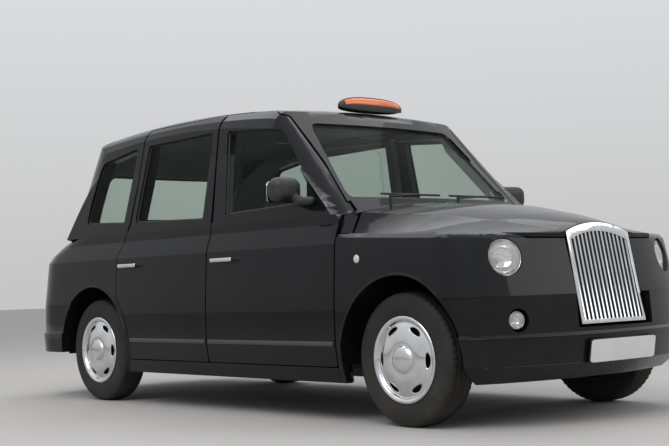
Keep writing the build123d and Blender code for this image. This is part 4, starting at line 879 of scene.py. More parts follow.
def skin(source: bpy.types.Object, name: str, crease_deg: float = 24.0, cell: float = 0.05,
         passes: int = 10) -> bpy.types.Object:
    """A merged copy of a CAD node, cut small and shaded evenly.

    Args:
        source: the CAD node's object.
        name: name of the copy.
        crease_deg: faces that meet at more keep a sharp edge.
        cell: size of its faces.
        passes: how far shading spreads.

    Returns:
        The copy, with its own corner normals.
    """
    work = welded(source, SKIN_FLAT_DEG)
    sliced(work, cell)
    work.faces.ensure_lookup_table()
    work.faces.index_update()
    crease = math.radians(crease_deg)
    normals = relaxed_normals(work, crease, passes)
    mesh = bpy.data.meshes.new(name)
    work.to_mesh(mesh)
    work.free()
    smoothed(mesh)
    corners = corner_normals(mesh, normals, crease * CORNER_CREASE)
    mesh.normals_split_custom_set(corners.tolist())
    return linked(name, mesh)


def softened(source: bpy.types.Object, name: str, cell: float, passes: int) -> bpy.types.Object:
    """A copy of a CAD node rebuilt in even small faces, whose points are drawn towards their neighbours.

    Args:
        source: the CAD node's object.
        name: name of the copy.
        cell: size of its faces.
        passes: how often its points are drawn together.

    Returns:
        The copy, with rounded edges.
    """
    copy = linked(name, source.data.copy())
    rebuilt = copy.modifiers.new("rebuilt", "REMESH")
    rebuilt.mode = "VOXEL"
    rebuilt.voxel_size = cell
    rebuilt.use_smooth_shade = True
    rounded = copy.modifiers.new("rounded", "SMOOTH")
    rounded.factor = 0.5
    rounded.iterations = passes
    return copy


@dataclass(frozen=True)
class Panel:
    """How a painted panel is copied: faces that meet at more than the crease keep a sharp edge, and the
    faces that look a certain way take a lining."""

    node: str
    crease_deg: float
    lining: str
    way: Place


@dataclass
class Coachwork:
    """Painted panels."""

    door_crease: float = 9.0
    wing_crease: float = 24.0
    cell: float = 0.05
    inset_y: float = 0.7759
    belt_z: float = 1.0805
    belt_y: float = 0.8300
    lean: float = 0.1339
    reach: float = 0.0008

    def flush(self, copy: bpy.types.Object) -> None:
        """Brings window frames out to the leaning flank, level with the glass.

        The CAD frames end on a plane at inset_y. Points on it above the belt go to the flank, whose half
        width is belt_y - lean (z - belt_z), where that lies further out.

        Args:
            copy: a copy of a door or a body side.
        """
        points = read(copy.data.vertices, "co", 3)
        half = np.abs(points[:, 1])
        flank = self.belt_y - self.lean * (points[:, 2] - self.belt_z)
        edge = np.abs(half - self.inset_y) < self.reach
        edge &= (points[:, 2] > self.belt_z - self.reach) & (flank > half)
        points[edge, 1] = np.sign(points[edge, 1]) * flank[edge]
        copy.data.vertices.foreach_set("co", points.reshape(-1))
        copy.data.update()

    def panels(self) -> list[Panel]:
        """Every painted panel."""
        down = (0.0, 0.0, -1.0)
        found = [
            Panel("roof_panel", 24.0, "lining", down), Panel("rear_panel", 14.0, "lining", (1.0, 0.0, 0.0)),
            Panel("boot_lid", 14.0, "frame", (0.7, 0.0, -0.7)), Panel("bonnet", 12.0, "frame", down),
            Panel("scuttle", 20.0, "frame", down),
        ]
        for side in Side:
            found.append(Panel(f"body_side_{side}", self.door_crease, "lining", side.inwards))
            found.append(Panel(f"front_wing_{side}", self.wing_crease, "frame", side.inwards))
            found += [Panel(f"door_{end}_{side}", self.door_crease, "trim", side.inwards) for end in ENDS]
        return found

    def build(self, shop: Workshop) -> None:
        """Copies and dresses every painted panel."""
        for panel in self.panels():
            node = panel.node
            copy = skin(shop.frame["nodes"][node], f"{node}_skin", panel.crease_deg, self.cell)
            if node.startswith(("door", "body_side")):
                self.flush(copy)
            shop.fit(copy, shop.body_of[node], "paint", "paint", node)
            shop.line(copy, panel.lining, panel.way)


@dataclass
class Fittings:
    """CAD pieces that keep their shape and only take a finish, and copies that shade evenly."""

    smooth_crease: float = 30.0
    smooth_cell: float = 0.06
    smooth_passes: int = 4
    mirror_cell: float = 0.005
    mirror_passes: int = 14
    handle_cell: float = 0.002
    handle_passes: int = 5

    def plain(self) -> dict[str, str]:
        """Finish by node, for the nodes that show as they are."""
        found = {
            "fixed_glass": "window", "floor_pan": "carpet", "chassis_frame": "frame", "exhaust": "exhaust",
            "rear_axle": "iron", "front_suspension": "iron", "engine_block": "iron", "front_panel": "bumper",
            "partition": "screen", "parcel_shelf": "carpet", "steering_wheel": "trim",
        }
        for side in Side:
            found[f"knuckle_{side}"] = "iron"
            found.update({f"door_{end}_glass_{side}": "window" for end in ENDS})
        return found

    def smooth(self, shop: Workshop) -> None:
        """Copies the bumpers, dashboard and wipers."""
        finishes = {
            "front_bumper": ("bumper", "black_plastic"), "rear_bumper": ("bumper", "black_plastic"),
            "dashboard": ("trim", "trim"), "wipers": ("rubber", "black_plastic"),
        }
        for node, (finish, slot) in finishes.items():
            copy = skin(shop.frame["nodes"][node], f"{node}_skin", self.smooth_crease, self.smooth_cell,
                        self.smooth_passes)
            shop.fit(copy, shop.body_of[node], finish, slot, node)

    def soft(self, shop: Workshop) -> None:
        """Rounds the mirrors and the handles."""
        mirror = (self.mirror_cell, self.mirror_passes)
        handle = (self.handle_cell, self.handle_passes)
        for side in Side:
            node = f"mirror_{side}"
            copy = softened(shop.frame["nodes"][node], f"{node}_soft", *mirror)
            shop.fit(copy, shop.body_of[node], "mirror_case", "black_plastic", node)
            for end in ENDS:
                node = f"door_{end}_handle_{side}"
                copy = softened(shop.frame["nodes"][node], f"{node}_soft", *handle)
                shop.fit(copy, shop.body_of[node], "chrome", "bright", node)

    def build(self, shop: Workshop) -> None:
        """Dresses the pieces."""
        for node, finish in self.plain().items():
            shop.dress(node, finish)
        self.smooth(shop)
        self.soft(shop)


@dataclass
class Wheels:
    """Four tyres with tread, and four wheels with domed, slotted covers."""

    bead_inset: float = 0.009
    bead_radius: float = 0.205
    tyre_turns: int = 240
    tyre_steps: tuple[int, ...] = (3, 12, 9, 7, 5, 5, 12)
    groove_lanes: tuple[float, ...] = (-0.045, -0.016, 0.016, 0.045)
    groove_depth: float = 0.006
    groove_half: float = 0.0035
    tread_drop: float = 0.014
    tread_fade: float = 0.008
    blocks: int = 60
    block_lean: float = 9.0
    block_inner: float = 0.047
    block_steep: float = 3.0
    block_share: float = 1.6
    wall_ring_rise: float = 0.0008
    wall_ring_pitch: float = 900.0
    wall_ring_drop: float = 0.05
    cover_turns: int = 216
    cover_steps: int = 4
    cover_radius: float = 0.217
    cover_wall: float = 0.0018
    slots: int = 6
    slot_radius: float = 0.162
    slot_long: float = 0.038
    slot_wide: float = 0.0135
    slot_reach: tuple[float, float] = (0.8, 1.18)
    rim_turns: int = 96

    def tyre(self, half: float, radius: float) -> Shape:
        """A tyre about the axis x, with ribs and shoulder blocks.

        The section is a smooth line through knots, given as (along, radius), and its mirror image. Its
        relief is a groove where the point lies near one of four lanes round the tread, and on the
        shoulders where a sine round the tyre is high. The wall has fine rings, a sine of the radius.

        Args:
            half: half the tyre's width.
            radius: the tyre's outer radius.

        Returns:
            Points and faces.
        """
        bead = half - self.bead_inset
        rim = self.bead_radius
        knots = np.array([
            (bead - 0.012, rim + 0.001), (bead, rim + 0.002), (half - 0.001, rim + 0.040),
            (half, rim + 0.068), (half - 0.004, radius - 0.030), (half - 0.014, radius - 0.010),
            (half - 0.030, radius - 0.002), (0.0, radius),
        ])
        line = smooth_profile(knots, self.tyre_steps)
        line = np.vstack([line, line[-2::-1] * np.array([-1.0, 1.0])])
        along, out = line.T
        tread = np.clip((out - (radius - self.tread_drop)) / self.tread_fade, 0.0, 1.0)
        gaps = (along[:, None] - np.array(self.groove_lanes)) / self.groove_half
        lanes = np.exp(-gaps ** 4).max(axis=1)
        angle = np.linspace(0.0, FULL_TURN, self.tyre_turns, endpoint=False)[:, None]
        wave = np.sin(self.blocks * angle + self.block_lean * along[None, :])
        blocks = np.clip(wave * self.block_steep - self.block_share, 0.0, 1.0)
        blocks = blocks * (np.abs(along) > self.block_inner)
        relief = np.maximum(lanes[None, :], blocks) * tread * self.groove_depth
        wall = out < radius - self.wall_ring_drop
        rings = self.wall_ring_rise * np.sin(out * self.wall_ring_pitch) * wall
        return lathe(line, self.tyre_turns, relief + rings[None, :])

    def cover(self, lip: float) -> Shape:
        """The bright cover about the axis x: rolled edge, dished ring with slots, raised middle.

        The section is a smooth line through knots, given as (along, radius). The gauge is 1 on a slot's
        edge, an ellipse. Points near it are drawn onto it, and the faces inside it are left out.

        Args:
            lip: distance of the rim's edge from the wheel's middle.

        Returns:
            Points and faces.
        """
        edge = self.cover_radius
        knots = np.array([
            (lip + 0.035, 0.0), (lip + 0.0345, 0.020), (lip + 0.032, 0.044), (lip + 0.027, 0.060),
            (lip + 0.020, 0.068), (lip + 0.016, 0.071), (lip + 0.0165, 0.077), (lip + 0.0165, 0.092),
            (lip + 0.014, 0.115), (lip + 0.009, 0.138), (lip + 0.004, 0.155), (lip - 0.001, 0.170),
            (lip - 0.005, 0.181), (lip - 0.005, 0.186), (lip + 0.000, 0.190), (lip + 0.007, 0.195),
            (lip + 0.0115, 0.204), (lip + 0.0115, 0.211), (lip + 0.008, edge - 0.001),
            (lip + 0.003, edge - 0.002),
        ])
        line = smooth_profile(knots, self.cover_steps)
        turns = self.cover_turns
        points, faces = lathe(line, turns)
        angle = np.linspace(0, FULL_TURN, turns, endpoint=False)[:, None] + 0 * points[..., 0]
        radius = line[None, :, 1] + 0 * angle
        pitch = FULL_TURN / self.slots
        local = (angle + pitch / 2) % pitch - pitch / 2
        across = local * radius / self.slot_long
        up = (radius - self.slot_radius) / self.slot_wide
        gauge = np.hypot(across, up)
        near = (gauge > self.slot_reach[0]) & (gauge < self.slot_reach[1])
        scale = np.where(near, 1.0 / np.maximum(gauge, 1e-6), 1.0)
        drawn = self.slot_radius + up * scale * self.slot_wide
        turned = angle - local + across * scale * self.slot_long / np.maximum(drawn, 1e-6)
        angle = np.where(near, turned, angle)
        radius = np.where(near, drawn, radius)
        along = np.where(near, np.interp(radius, line[:, 1], line[:, 0]), points[..., 0])
        points = np.stack([along, radius * np.cos(angle), radius * np.sin(angle)], axis=-1)
        corners = gauge.reshape(-1)[faces]
        hole = (corners < 0.999).any(axis=1) & (corners < self.slot_reach[1]).all(axis=1)
        return points, faces[~hole]

    def rim(self, lip: float) -> Shape:
        """The black pressed wheel behind the cover: a lathe line from the hub bore to the bead and back."""
        knots = np.array([
            (0.004, 0.019), (0.022, 0.036), (0.022, 0.080), (0.030, 0.120), (0.020, 0.165), (0.012, 0.192),
            (0.03, 0.196), (lip - 0.006, 0.1965), (lip - 0.001, 0.203), (lip, 0.2045), (lip - 0.004, 0.2046),
            (-lip + 0.004, 0.2046), (-lip, 0.2045), (-lip + 0.001, 0.200), (-lip + 0.01, 0.1965),
            (-0.02, 0.1965), (-0.004, 0.190), (-0.004, 0.10), (-0.004, 0.036), (0.004, 0.019),
        ])
        return lathe(knots, self.rim_turns)

    def turned(self, points: np.ndarray, centre: np.ndarray, side: Side) -> np.ndarray:
        """Points about the axis x, laid along y with x outwards, at a wheel's centre."""
        return np.stack([points[..., 1], side.value * points[..., 0], points[..., 2]], axis=-1) + centre

    def wheel(self, shop: Workshop, end: str, side: Side) -> None:
        """One tyre, cover and rim, sized by the CAD tyre's box."""
        body = f"wheel_{end}_{side}"
        low, high = corners_of(f"tyre_{end}_{side}")
        centre = (low + high) / 2
        _, half, radius = (high - low) / 2
        lip = half - self.bead_inset
        points, faces = self.tyre(half, radius)
        tyre = to_object(f"tread_{end}_{side}", self.turned(points, centre, side), faces)
        shop.fit(tyre, body, "tyre", "tyre", f"tyre_{end}_{side}")
        points, faces = self.cover(lip)
        cover = to_object(f"cover_{end}_{side}", self.turned(points, centre, side), faces)
        wall = cover.modifiers.new("wall", "SOLIDIFY")
        wall.thickness = self.cover_wall
        wall.offset = -1.0
        shop.fit(cover, body, "chrome", "bright")
        points, faces = self.rim(lip)
        rim = to_object(f"rim_wheel_{end}_{side}", self.turned(points, centre, side), faces)
        shop.fit(rim, body, "frame", "bright", body)

    def build(self, shop: Workshop) -> None:
        """Makes the wheels."""
        for end in ENDS:
            for side in Side:
                self.wheel(shop, end, side)


@dataclass(frozen=True)
class Pad:
    """One cushion: its full size, the place of its middle and its turn about y."""

    name: str
    size: Place
    centre: Place
    lean_deg: float
    channels: int
    nodes: tuple[str, ...] = ()


@dataclass
class Seats:
    """Padded driver's seat and passenger bench."""

    steps: int = 40
    squareness: float = 0.32
    crown: float = 0.012
    channel_depth: float = 0.010
    channel_width: float = 0.008
    fill: float = 0.8
    plinth_x: float = 0.485
    plinth_z: tuple[float, float] = (0.302, 0.51)
    plinth_half: tuple[float, float] = (0.185, 0.19)

    def cushion(self, pad: Pad) -> bpy.types.Object:
        """A crowned pad with sewn channels, leaned about y and put in place.

        Channels are shallow grooves, each depth times exp(-(distance / width)^2) off top and bottom.

        Args:
            pad: what it is like.

        Returns:
            The cushion.
        """
        points, faces = pillow(self.steps, pad.size, self.squareness, self.crown)
        for line in np.linspace(-0.5, 0.5, pad.channels + 2)[1:-1] * pad.size[1]:
            groove = self.channel_depth * np.exp(-((points[..., 1] - line) / self.channel_width) ** 2)
            points[..., 2] -= groove * np.sign(points[..., 2])
        turn = Matrix.Rotation(math.radians(pad.lean_deg), 3, "Y")
        return to_object(pad.name, points @ np.array(turn).T + np.array(pad.centre), faces)

    def plinth(self, shop: Workshop, mid_y: float) -> None:
        """The driver's seat base: a box with rounded edges, its section carried upwards."""
        path = np.array([(self.plinth_x, mid_y, z) for z in np.linspace(*self.plinth_z, 6)])
        points, faces = sweep(path, ring(48, *self.plinth_half, 0.3), np.array([1.0, 0.0, 0.0]), False)
        base = to_object("driver_plinth", points, faces, smooth=False)
        shop.fit(base, "body", "trim", "trim")

    def build(self, shop: Workshop) -> None:
        """Makes the cushions, those of the driver as wide as the CAD seat."""
        low, high = corners_of("driver_seat")
        mid_y = (low[1] + high[1]) / 2
        width = high[1] - low[1] - 0.02
        pads = (
            Pad("driver_cushion", (0.48, width, 0.13), (0.485, mid_y, 0.575), 0.0, 2, ("driver_seat",)),
            Pad("driver_backrest", (0.56, width - 0.02, 0.11), (0.150, mid_y, 0.86), 100.0, 2),
            Pad("driver_headrest", (0.15, 0.26, 0.09), (0.092, mid_y, 1.17), 100.0, 0),
            Pad("bench_cushion", (0.51, 1.17, 0.15), (-1.215, 0.0, 0.593), 0.0, 2, ("rear_seat",)),
            Pad("bench_backrest", (0.54, 1.06, 0.11), (-1.585, 0.0, 0.95), 102.0, 2),
        )
        for pad in pads:
            cushion = self.cushion(pad)
            shop.fit(cushion, "body", "seat", "seat", *pad.nodes)
        self.plinth(shop, mid_y)


@dataclass(frozen=True)
class LampKind:
    """A pair of lamps: the middle and radius of the left lens's rim, the degrees that it is turned
    outwards and leaned upwards, the rise of its lens and how far it lies back."""

    name: str
    node: str
    at: Place
    radius: float
    turn: float
    lean: float
    crown: float
    sink: float

    def aimed(self, points: np.ndarray, side: Side) -> np.ndarray:
        """Points about the axis x, aimed outwards and upwards from the lamp's place."""
        turn = Matrix.Rotation(math.radians(self.turn * side.value), 3, "Z")
        way = turn @ Matrix.Rotation(math.radians(-self.lean), 3, "Y")
        return points @ np.array(way).T + np.array(self.at) * np.array([1.0, side.value, 1.0])


@dataclass
class Lamps:
    """Head and fog lamps with reflector, bulb and lens."""

    kinds: tuple[LampKind, ...] = (
        LampKind("headlamp", "headlamps", (2.073, 0.628, 0.816), 0.092, 24.0, 9.0, 0.022, 0.002),
        LampKind("foglamp", "fog_lamps", (2.146, 0.630, 0.518), 0.042, 22.0, 0.0, 0.007, 0.014),
    )
    drawn_radius: float = 0.092
    span_steps: int = 6
    turns: int = 72

    def parts(self, kind: LampKind) -> tuple[tuple[str, np.ndarray, str, str], ...]:
        """The lathe lines of one lamp, given as (along, radius).

        Args:
            kind: the pair that it belongs to.

        Returns:
            Name, line, finish and slot of each part.
        """
        r = kind.radius
        scale = r / self.drawn_radius
        bowl = np.array([(0.0, r * 0.97), (-0.018 * scale, r * 0.9), (-0.045 * scale, r * 0.72),
                         (-0.065 * scale, r * 0.42), (-0.07 * scale, r * 0.12), (-0.07 * scale, 0.0)])
        lens = np.array([(kind.crown, 0.0), (kind.crown * 0.93, r * 0.25), (kind.crown * 0.72, r * 0.5),
                         (kind.crown * 0.38, r * 0.75), (0.0, r * 0.95)])
        rim = np.array([(0.001, r * 0.93), (0.004, r * 0.955), (0.003, r * 0.985), (-0.004, r * 0.998),
                        (-0.02, r * 0.998)])
        bulb = np.array([(-0.018, 0.0), (-0.02, 0.010), (-0.03, 0.014), (-0.06, 0.012), (-0.066, 0.0)])
        well = np.array([(-0.03, r * 0.97), (-0.006, r), (0.0, r * 1.03), (-0.002, r * 1.09),
                         (-0.012, r * 1.12), (-0.03, r * 1.12)])
        return (("bowl", bowl, "reflector", "lens"), ("lens", lens, "lens", "lens"),
                ("rim", rim, "chrome", "bright"), ("bulb", bulb * scale, "bulb", "lens"),
                ("well", well, "ring", "black_plastic"))

    def build(self, shop: Workshop) -> None:
        """Makes both pairs, the right bowl of each standing for its CAD node."""
        for kind in self.kinds:
            for side in Side:
                for part, line, finish, slot in self.parts(kind):
                    points, faces = lathe(smooth_profile(line, self.span_steps), self.turns)
                    points[..., 0] -= kind.sink
                    piece = to_object(f"{kind.name}_{side}_{part}", kind.aimed(points, side), faces)
                    nodes = (kind.node,) if part == "bowl" and side is Side.RIGHT else ()
                    shop.fit(piece, "body", finish, slot, *nodes)


@dataclass
class Grille:
    """The bright leaning grille."""

    edge: float = 0.0035
    edge_segments: int = 3
    flat_deg: float = 1.0
    sharp_deg: float = 35.0
    set_back: float = 0.022
    lean: float = 0.085
    side_inset: float = 0.014
    top_inset: float = 0.014
    foot_inset: float = 0.012
    narrowing: float = 0.008
    arch: float = 0.030
    rows: int = 25
    columns: int = 33

    def build(self, shop: Workshop) -> None:
        """Copies the CAD grille and rounds its edges."""
        work = welded(shop.frame["nodes"]["grille"], self.flat_deg)
        mesh = bpy.data.meshes.new("grille_bars")
        work.to_mesh(mesh)
        work.free()
        smoothed(mesh)
        bars = linked("grille_bars", mesh)
        round_over = bars.modifiers.new("edge", "BEVEL")
        round_over.width = self.edge
        round_over.segments = self.edge_segments
        round_over.limit_method = "ANGLE"
        round_over.angle_limit = math.radians(self.sharp_deg)
        round_over.harden_normals = True
        shop.fit(bars, "body", "chrome", "bright", "grille")
        self.backing(shop)

    def backing(self, shop: Workshop) -> None:
        """A dark screen behind the bars, painted shade for the space behind them: a sheet between the
        grille's own edges, set back from its face.

        Rows run from the foot to the top, where the sheet narrows with the grille and arches like it.
        """
        low, high = corners_of("grille")
        u = np.linspace(-1.0, 1.0, self.columns)[None, :]
        v = np.linspace(0.02, 1.0, self.rows)[:, None]
        foot = low[2] + self.foot_inset
        top = high[2] - self.top_inset - self.arch * u**2
        z = foot + v * (top - foot)
        y = u * (high[1] - self.side_inset - self.narrowing * v)
        x = high[0] - self.set_back - (z - low[2]) / (high[2] - low[2]) * self.lean
        points = np.stack([x + 0 * y, y, z], axis=-1)
        screen = to_object("grille_backing", points, grid_faces(self.rows, self.columns))
        # The sheet's near-black finish is painted shade behind the bars.
        shop.fit(screen, "body", "rubber", "black_plastic")


@dataclass
class Seals:
    """Black rubber round every pane."""

    width: float = 0.010
    height: float = 0.005
    step: float = 0.02
    middle: Place = (-0.4, 0.0, 0.9)
    middle_reach: float = 0.4
    facing: float = 0.35
    fewest: int = 8

    def rims(self, node: bpy.types.Object) -> list[np.ndarray]:
        """The outer edges of a node's panes.

        Args:
            node: a glass node.

        Returns:
            One closed line of points for each pane.
        """
        work = bmesh.new()
        work.from_mesh(node.data)
        bmesh.ops.remove_doubles(work, verts=work.verts, dist=CAD_WELD)
        work.faces.index_update()
        work.edges.index_update()
        outer = set()
        for face in work.faces:
            way = np.array(face.calc_center_median()) - np.array(self.middle)
            way[0] *= self.middle_reach
            if np.dot(face.normal, way / np.linalg.norm(way)) > self.facing:
                outer.add(face.index)
        edges = {edge.index: edge for edge in work.edges
                 if sum(face.index in outer for face in edge.link_faces) == 1}
        lines = []
        while edges:
            first, vert = edges.pop(next(iter(edges))).verts
            line = [first.co.copy(), vert.co.copy()]
            while step := next((edge for edge in vert.link_edges if edge.index in edges), None):
                vert = edges.pop(step.index).other_vert(vert)
                line.append(vert.co.copy())
            lines.append(np.array(line[:-1]))
        work.free()
        return [line for line in lines if len(line) > self.fewest]

    def build(self, shop: Workshop) -> None:
        """Sweeps a flat rubber section round each pane."""
        nodes = ["fixed_glass"] + [f"door_{end}_glass_{side}" for end in ENDS for side in Side]
        for node in nodes:
            for number, line in enumerate(self.rims(shop.frame["nodes"][node])):
                line = even(line, self.step)
                normal = np.linalg.svd(line - line.mean(axis=0), full_matrices=False)[2][2]
                points, faces = sweep(line, ring(12, self.width, self.height), normal, True)
                seal = to_object(f"seal_{node}_{number}", points, faces)
                shop.fit(seal, shop.body_of[node], "rubber", "black_plastic")


@dataclass(frozen=True)
class Plate:
    """A blank plate: the height of its middle, 1 ahead at the front or -1 at the rear, and the nodes that
    it lies on, the first of which carries it."""

    name: str
    nodes: tuple[str, ...]
    z: float
    ahead: float
    finish: str


@dataclass
class Trims:
    """Rubbing strips, arch lips, blank plates, side repeaters and mirror glasses."""

    strip_z: float = 0.406
    strip_half: float = 0.0125
    strip_rise: float = 0.007
    strip_margin: float = 0.014
    strip_step: float = 0.006
    strip_x: tuple[float, float] = (-1.05, 1.15)
    strip_outside_y: float = 0.84
    lip_radius: float = 0.421
    lip_half: tuple[float, float] = (0.0065, 0.0045)
    lip_turns: tuple[float, float, float] = (-30.0, 211.0, 2.5)
    lip_outside_y: float = 0.80
    arch_z: float = 0.333
    arches: tuple[float, float] = (1.583, -1.303)
    repeater_at: tuple[float, float] = (1.304, 0.840)
    repeater_radius: float = 0.0225
    glass_half: tuple[float, float] = (0.070, 0.058)
    glass_offset: float = 0.03
    plate_half: tuple[float, float] = (0.260, 0.0555)
    plate_squareness: float = 0.13
    plate_gap: float = 0.002
    feel_y: float = 0.2
    feel_z: float = 0.05
    far: float = 3.0
    fan_x: float = 1.45
    fan_reach: float = 2.5
    fan_deg: float = 62.0
    fan_steps: int = 125
    bumper_face_x: float = 1.90
    bumper_middle: Place = (1.2, 0.0, 0.0)
    plates: tuple[Plate, ...] = (
        Plate("front_plate", ("front_bumper",), 0.354, 1.0, "plate"),
        Plate("rear_plate", ("boot_lid", "rear_panel"), 0.745, -1.0, "rear_plate"),
    )

    def strip(self, shop: Workshop, end: str, side: Side) -> None:
        """A strip on one door, swept along the points that a probe finds, its ends tapered."""
        node = f"door_{end}_{side}"
        probe = Probe(shop.frame, node)
        found = []
        for x in np.arange(*self.strip_x, self.strip_step):
            rises = (-self.strip_margin, 0.0, self.strip_margin)
            hits = [probe.flank(float(x), self.strip_z + rise, side) for rise in rises]
            if all(hit is not None and abs(hit[0][1]) > self.strip_outside_y for hit in hits):
                found.append(hits[1][0])
        path = np.array(found)[1:-1]
        count = np.arange(len(path))
        taper = np.minimum(1.0, np.minimum(count, count[::-1]) / 2.0 + 0.5)
        section = ring(20, self.strip_half, self.strip_rise, 0.6)
        points, faces = sweep(path, section, np.array(side.outwards), False)
        middle = points.mean(axis=1, keepdims=True)
        scale = np.concatenate([taper[:1], taper, taper[-1:]])[:, None, None]
        strip = to_object(f"strip_{end}_{side}", middle + (points - middle) * scale, faces)
        shop.fit(strip, shop.body_of[node], "strip", "black_plastic")

    def lip(self, shop: Workshop, centre_x: float, node: str, side: Side) -> None:
        """A rolled bead round one wheel arch: a circle's points laid on the panel by a probe."""
        probe = Probe(shop.frame, node)
        turns = np.radians(np.arange(*self.lip_turns))
        across = centre_x + self.lip_radius * np.cos(turns)
        up = self.arch_z + self.lip_radius * np.sin(turns)
        hits = [probe.flank(float(x), float(z), side) for x, z in zip(across, up)]
        path = [hit[0] for hit in hits if hit is not None and abs(hit[0][1]) > self.lip_outside_y]
        points, faces = sweep(np.array(path), ring(14, *self.lip_half), np.array(side.outwards), False)
        lip = to_object(f"arch_lip_{node}", points, faces)
        shop.fit(lip, "body", "paint", "paint")

    def plate(self, shop: Workshop, plate: Plate) -> None:
        """A blank plate and its thin black backing, leaned like the panel behind it.

        Args:
            shop: fits the pieces.
            plate: what it is like.
        """
        probe = Probe(shop.frame, *plate.nodes)
        hits = [probe.meet((self.far * plate.ahead, y, plate.z + rise), (-plate.ahead, 0.0, 0.0))
                for rise in (-self.feel_z, self.feel_z) for y in (-self.feel_y, 0.0, self.feel_y)]
        places = np.array([hit[0] for hit in hits if hit is not None])
        low = (places[places[:, 2] < plate.z][:, 0] * plate.ahead).max()
        high = (places[places[:, 2] > plate.z][:, 0] * plate.ahead).max()
        lean = math.atan2(low - high, 2 * self.feel_z)
        way = np.array([plate.ahead * math.cos(lean), 0.0, math.sin(lean)])
        middle = np.array([plate.ahead * (low + high) / 2, 0.0, plate.z])
        rows = ((-0.004, 0.002), (-0.003, 0.0), (0.002, 0.0), (0.003, 0.001))
        width, height = self.plate_half
        sheets = (("backing", 0.004, "rubber", 0.0), ("plate", 0.0, plate.finish, 0.003))
        for part, grow, finish, depth in sheets:
            points, faces = plaque(width + grow, height + grow, rows, self.plate_squareness)
            points = laid(points, middle + way * (self.plate_gap + depth), way)
            made = to_object(f"{plate.name}_{part}", points, faces, smooth=False)
            shop.fit(made, shop.body_of[plate.nodes[0]], finish, "black_plastic")

    def repeater(self, shop: Workshop, side: Side) -> None:
        """A small domed lamp on the wing: a lathe line for the base and one for the lens."""
        place, _ = Probe(shop.frame, f"front_wing_{side}").flank(*self.repeater_at, side)
        r = self.repeater_radius
        base = np.array([(0.0, r * 1.12), (0.003, r * 1.10), (0.004, r * 1.02), (0.002, r * 0.96)])
        lens = np.array([(0.009, 0.0), (0.0085, r * 0.4), (0.0065, r * 0.75), (0.001, r)])
        for part, line, finish in (("base", base, "mirror_case"), ("lens", lens, "reverse")):
            points, faces = lathe(smooth_profile(line, 5), 48)
            piece = to_object(f"repeater_{part}_{side}", laid(points, place, np.array(side.outwards)), faces)
            shop.fit(piece, "body", finish, "lens")

    def looking_glass(self, shop: Workshop, side: Side) -> None:
        """The flat glass in the back of a door mirror."""
        node = f"mirror_{side}"
        low, high = corners_of(node)
        middle = (low + high) / 2
        start = (0.0, middle[1] + side.value * self.glass_offset, middle[2])
        place, way = Probe(shop.frame, node).meet(start, (1.0, 0.0, 0.0))
        rows = ((-0.002, 0.001), (0.0, 0.0), (0.001, 0.001))
        points, faces = plaque(*self.glass_half, rows, 0.4)
        points = laid(points, place, way if way[0] < 0 else -way)
        glass = to_object(f"mirror_glass_{side}", points, faces, smooth=False)
        shop.fit(glass, shop.body_of[node], "looking_glass", "bright")

    def bumper_line(self, shop: Workshop, z: float, half: float, width: float, rise: float) -> None:
        """A raised line across the front bumper, swept along the points that a probe finds from the front.

        Args:
            shop: fits the piece.
            z: height of the line.
            half: half its length across the cab.
            width: half the width of its section.
            rise: half the depth of its section.
        """
        probe = Probe(shop.frame, "front_bumper")
        found = []
        for turn in np.radians(np.linspace(-self.fan_deg, self.fan_deg, self.fan_steps)):
            out = (math.cos(turn), math.sin(turn), 0.0)
            start = (self.fan_x + self.fan_reach * out[0], self.fan_reach * out[1], z)
            hit = probe.meet(start, (-out[0], -out[1], 0.0))
            if hit is not None and abs(hit[0][1]) < half and hit[0][0] > self.bumper_face_x:
                found.append(hit[0])
        path = np.array(found)
        out = (path - np.array(self.bumper_middle)) * np.array([1.0, 1.0, 0.0])
        out /= np.linalg.norm(out, axis=1, keepdims=True)
        points, faces = sweep(path, ring(12, width, rise), out, False)
        line = to_object(f"bumper_line_{round(1000 * z)}", points, faces)
        shop.fit(line, "body", "bumper", "black_plastic")

    def build(self, shop: Workshop) -> None:
        """Makes the trims of both sides, the bumper's lines and both plates."""
        self.bumper_line(shop, 0.436, 0.86, 0.005, 0.004)
        self.bumper_line(shop, 0.300, 0.80, 0.004, 0.003)
        for side in Side:
            for end in ENDS:
                self.strip(shop, end, side)
            for centre_x, panel in zip(self.arches, ("front_wing", "body_side")):
                self.lip(shop, centre_x, f"{panel}_{side}", side)
            self.repeater(shop, side)
            self.looking_glass(shop, side)
        for plate in self.plates:
            self.plate(shop, plate)


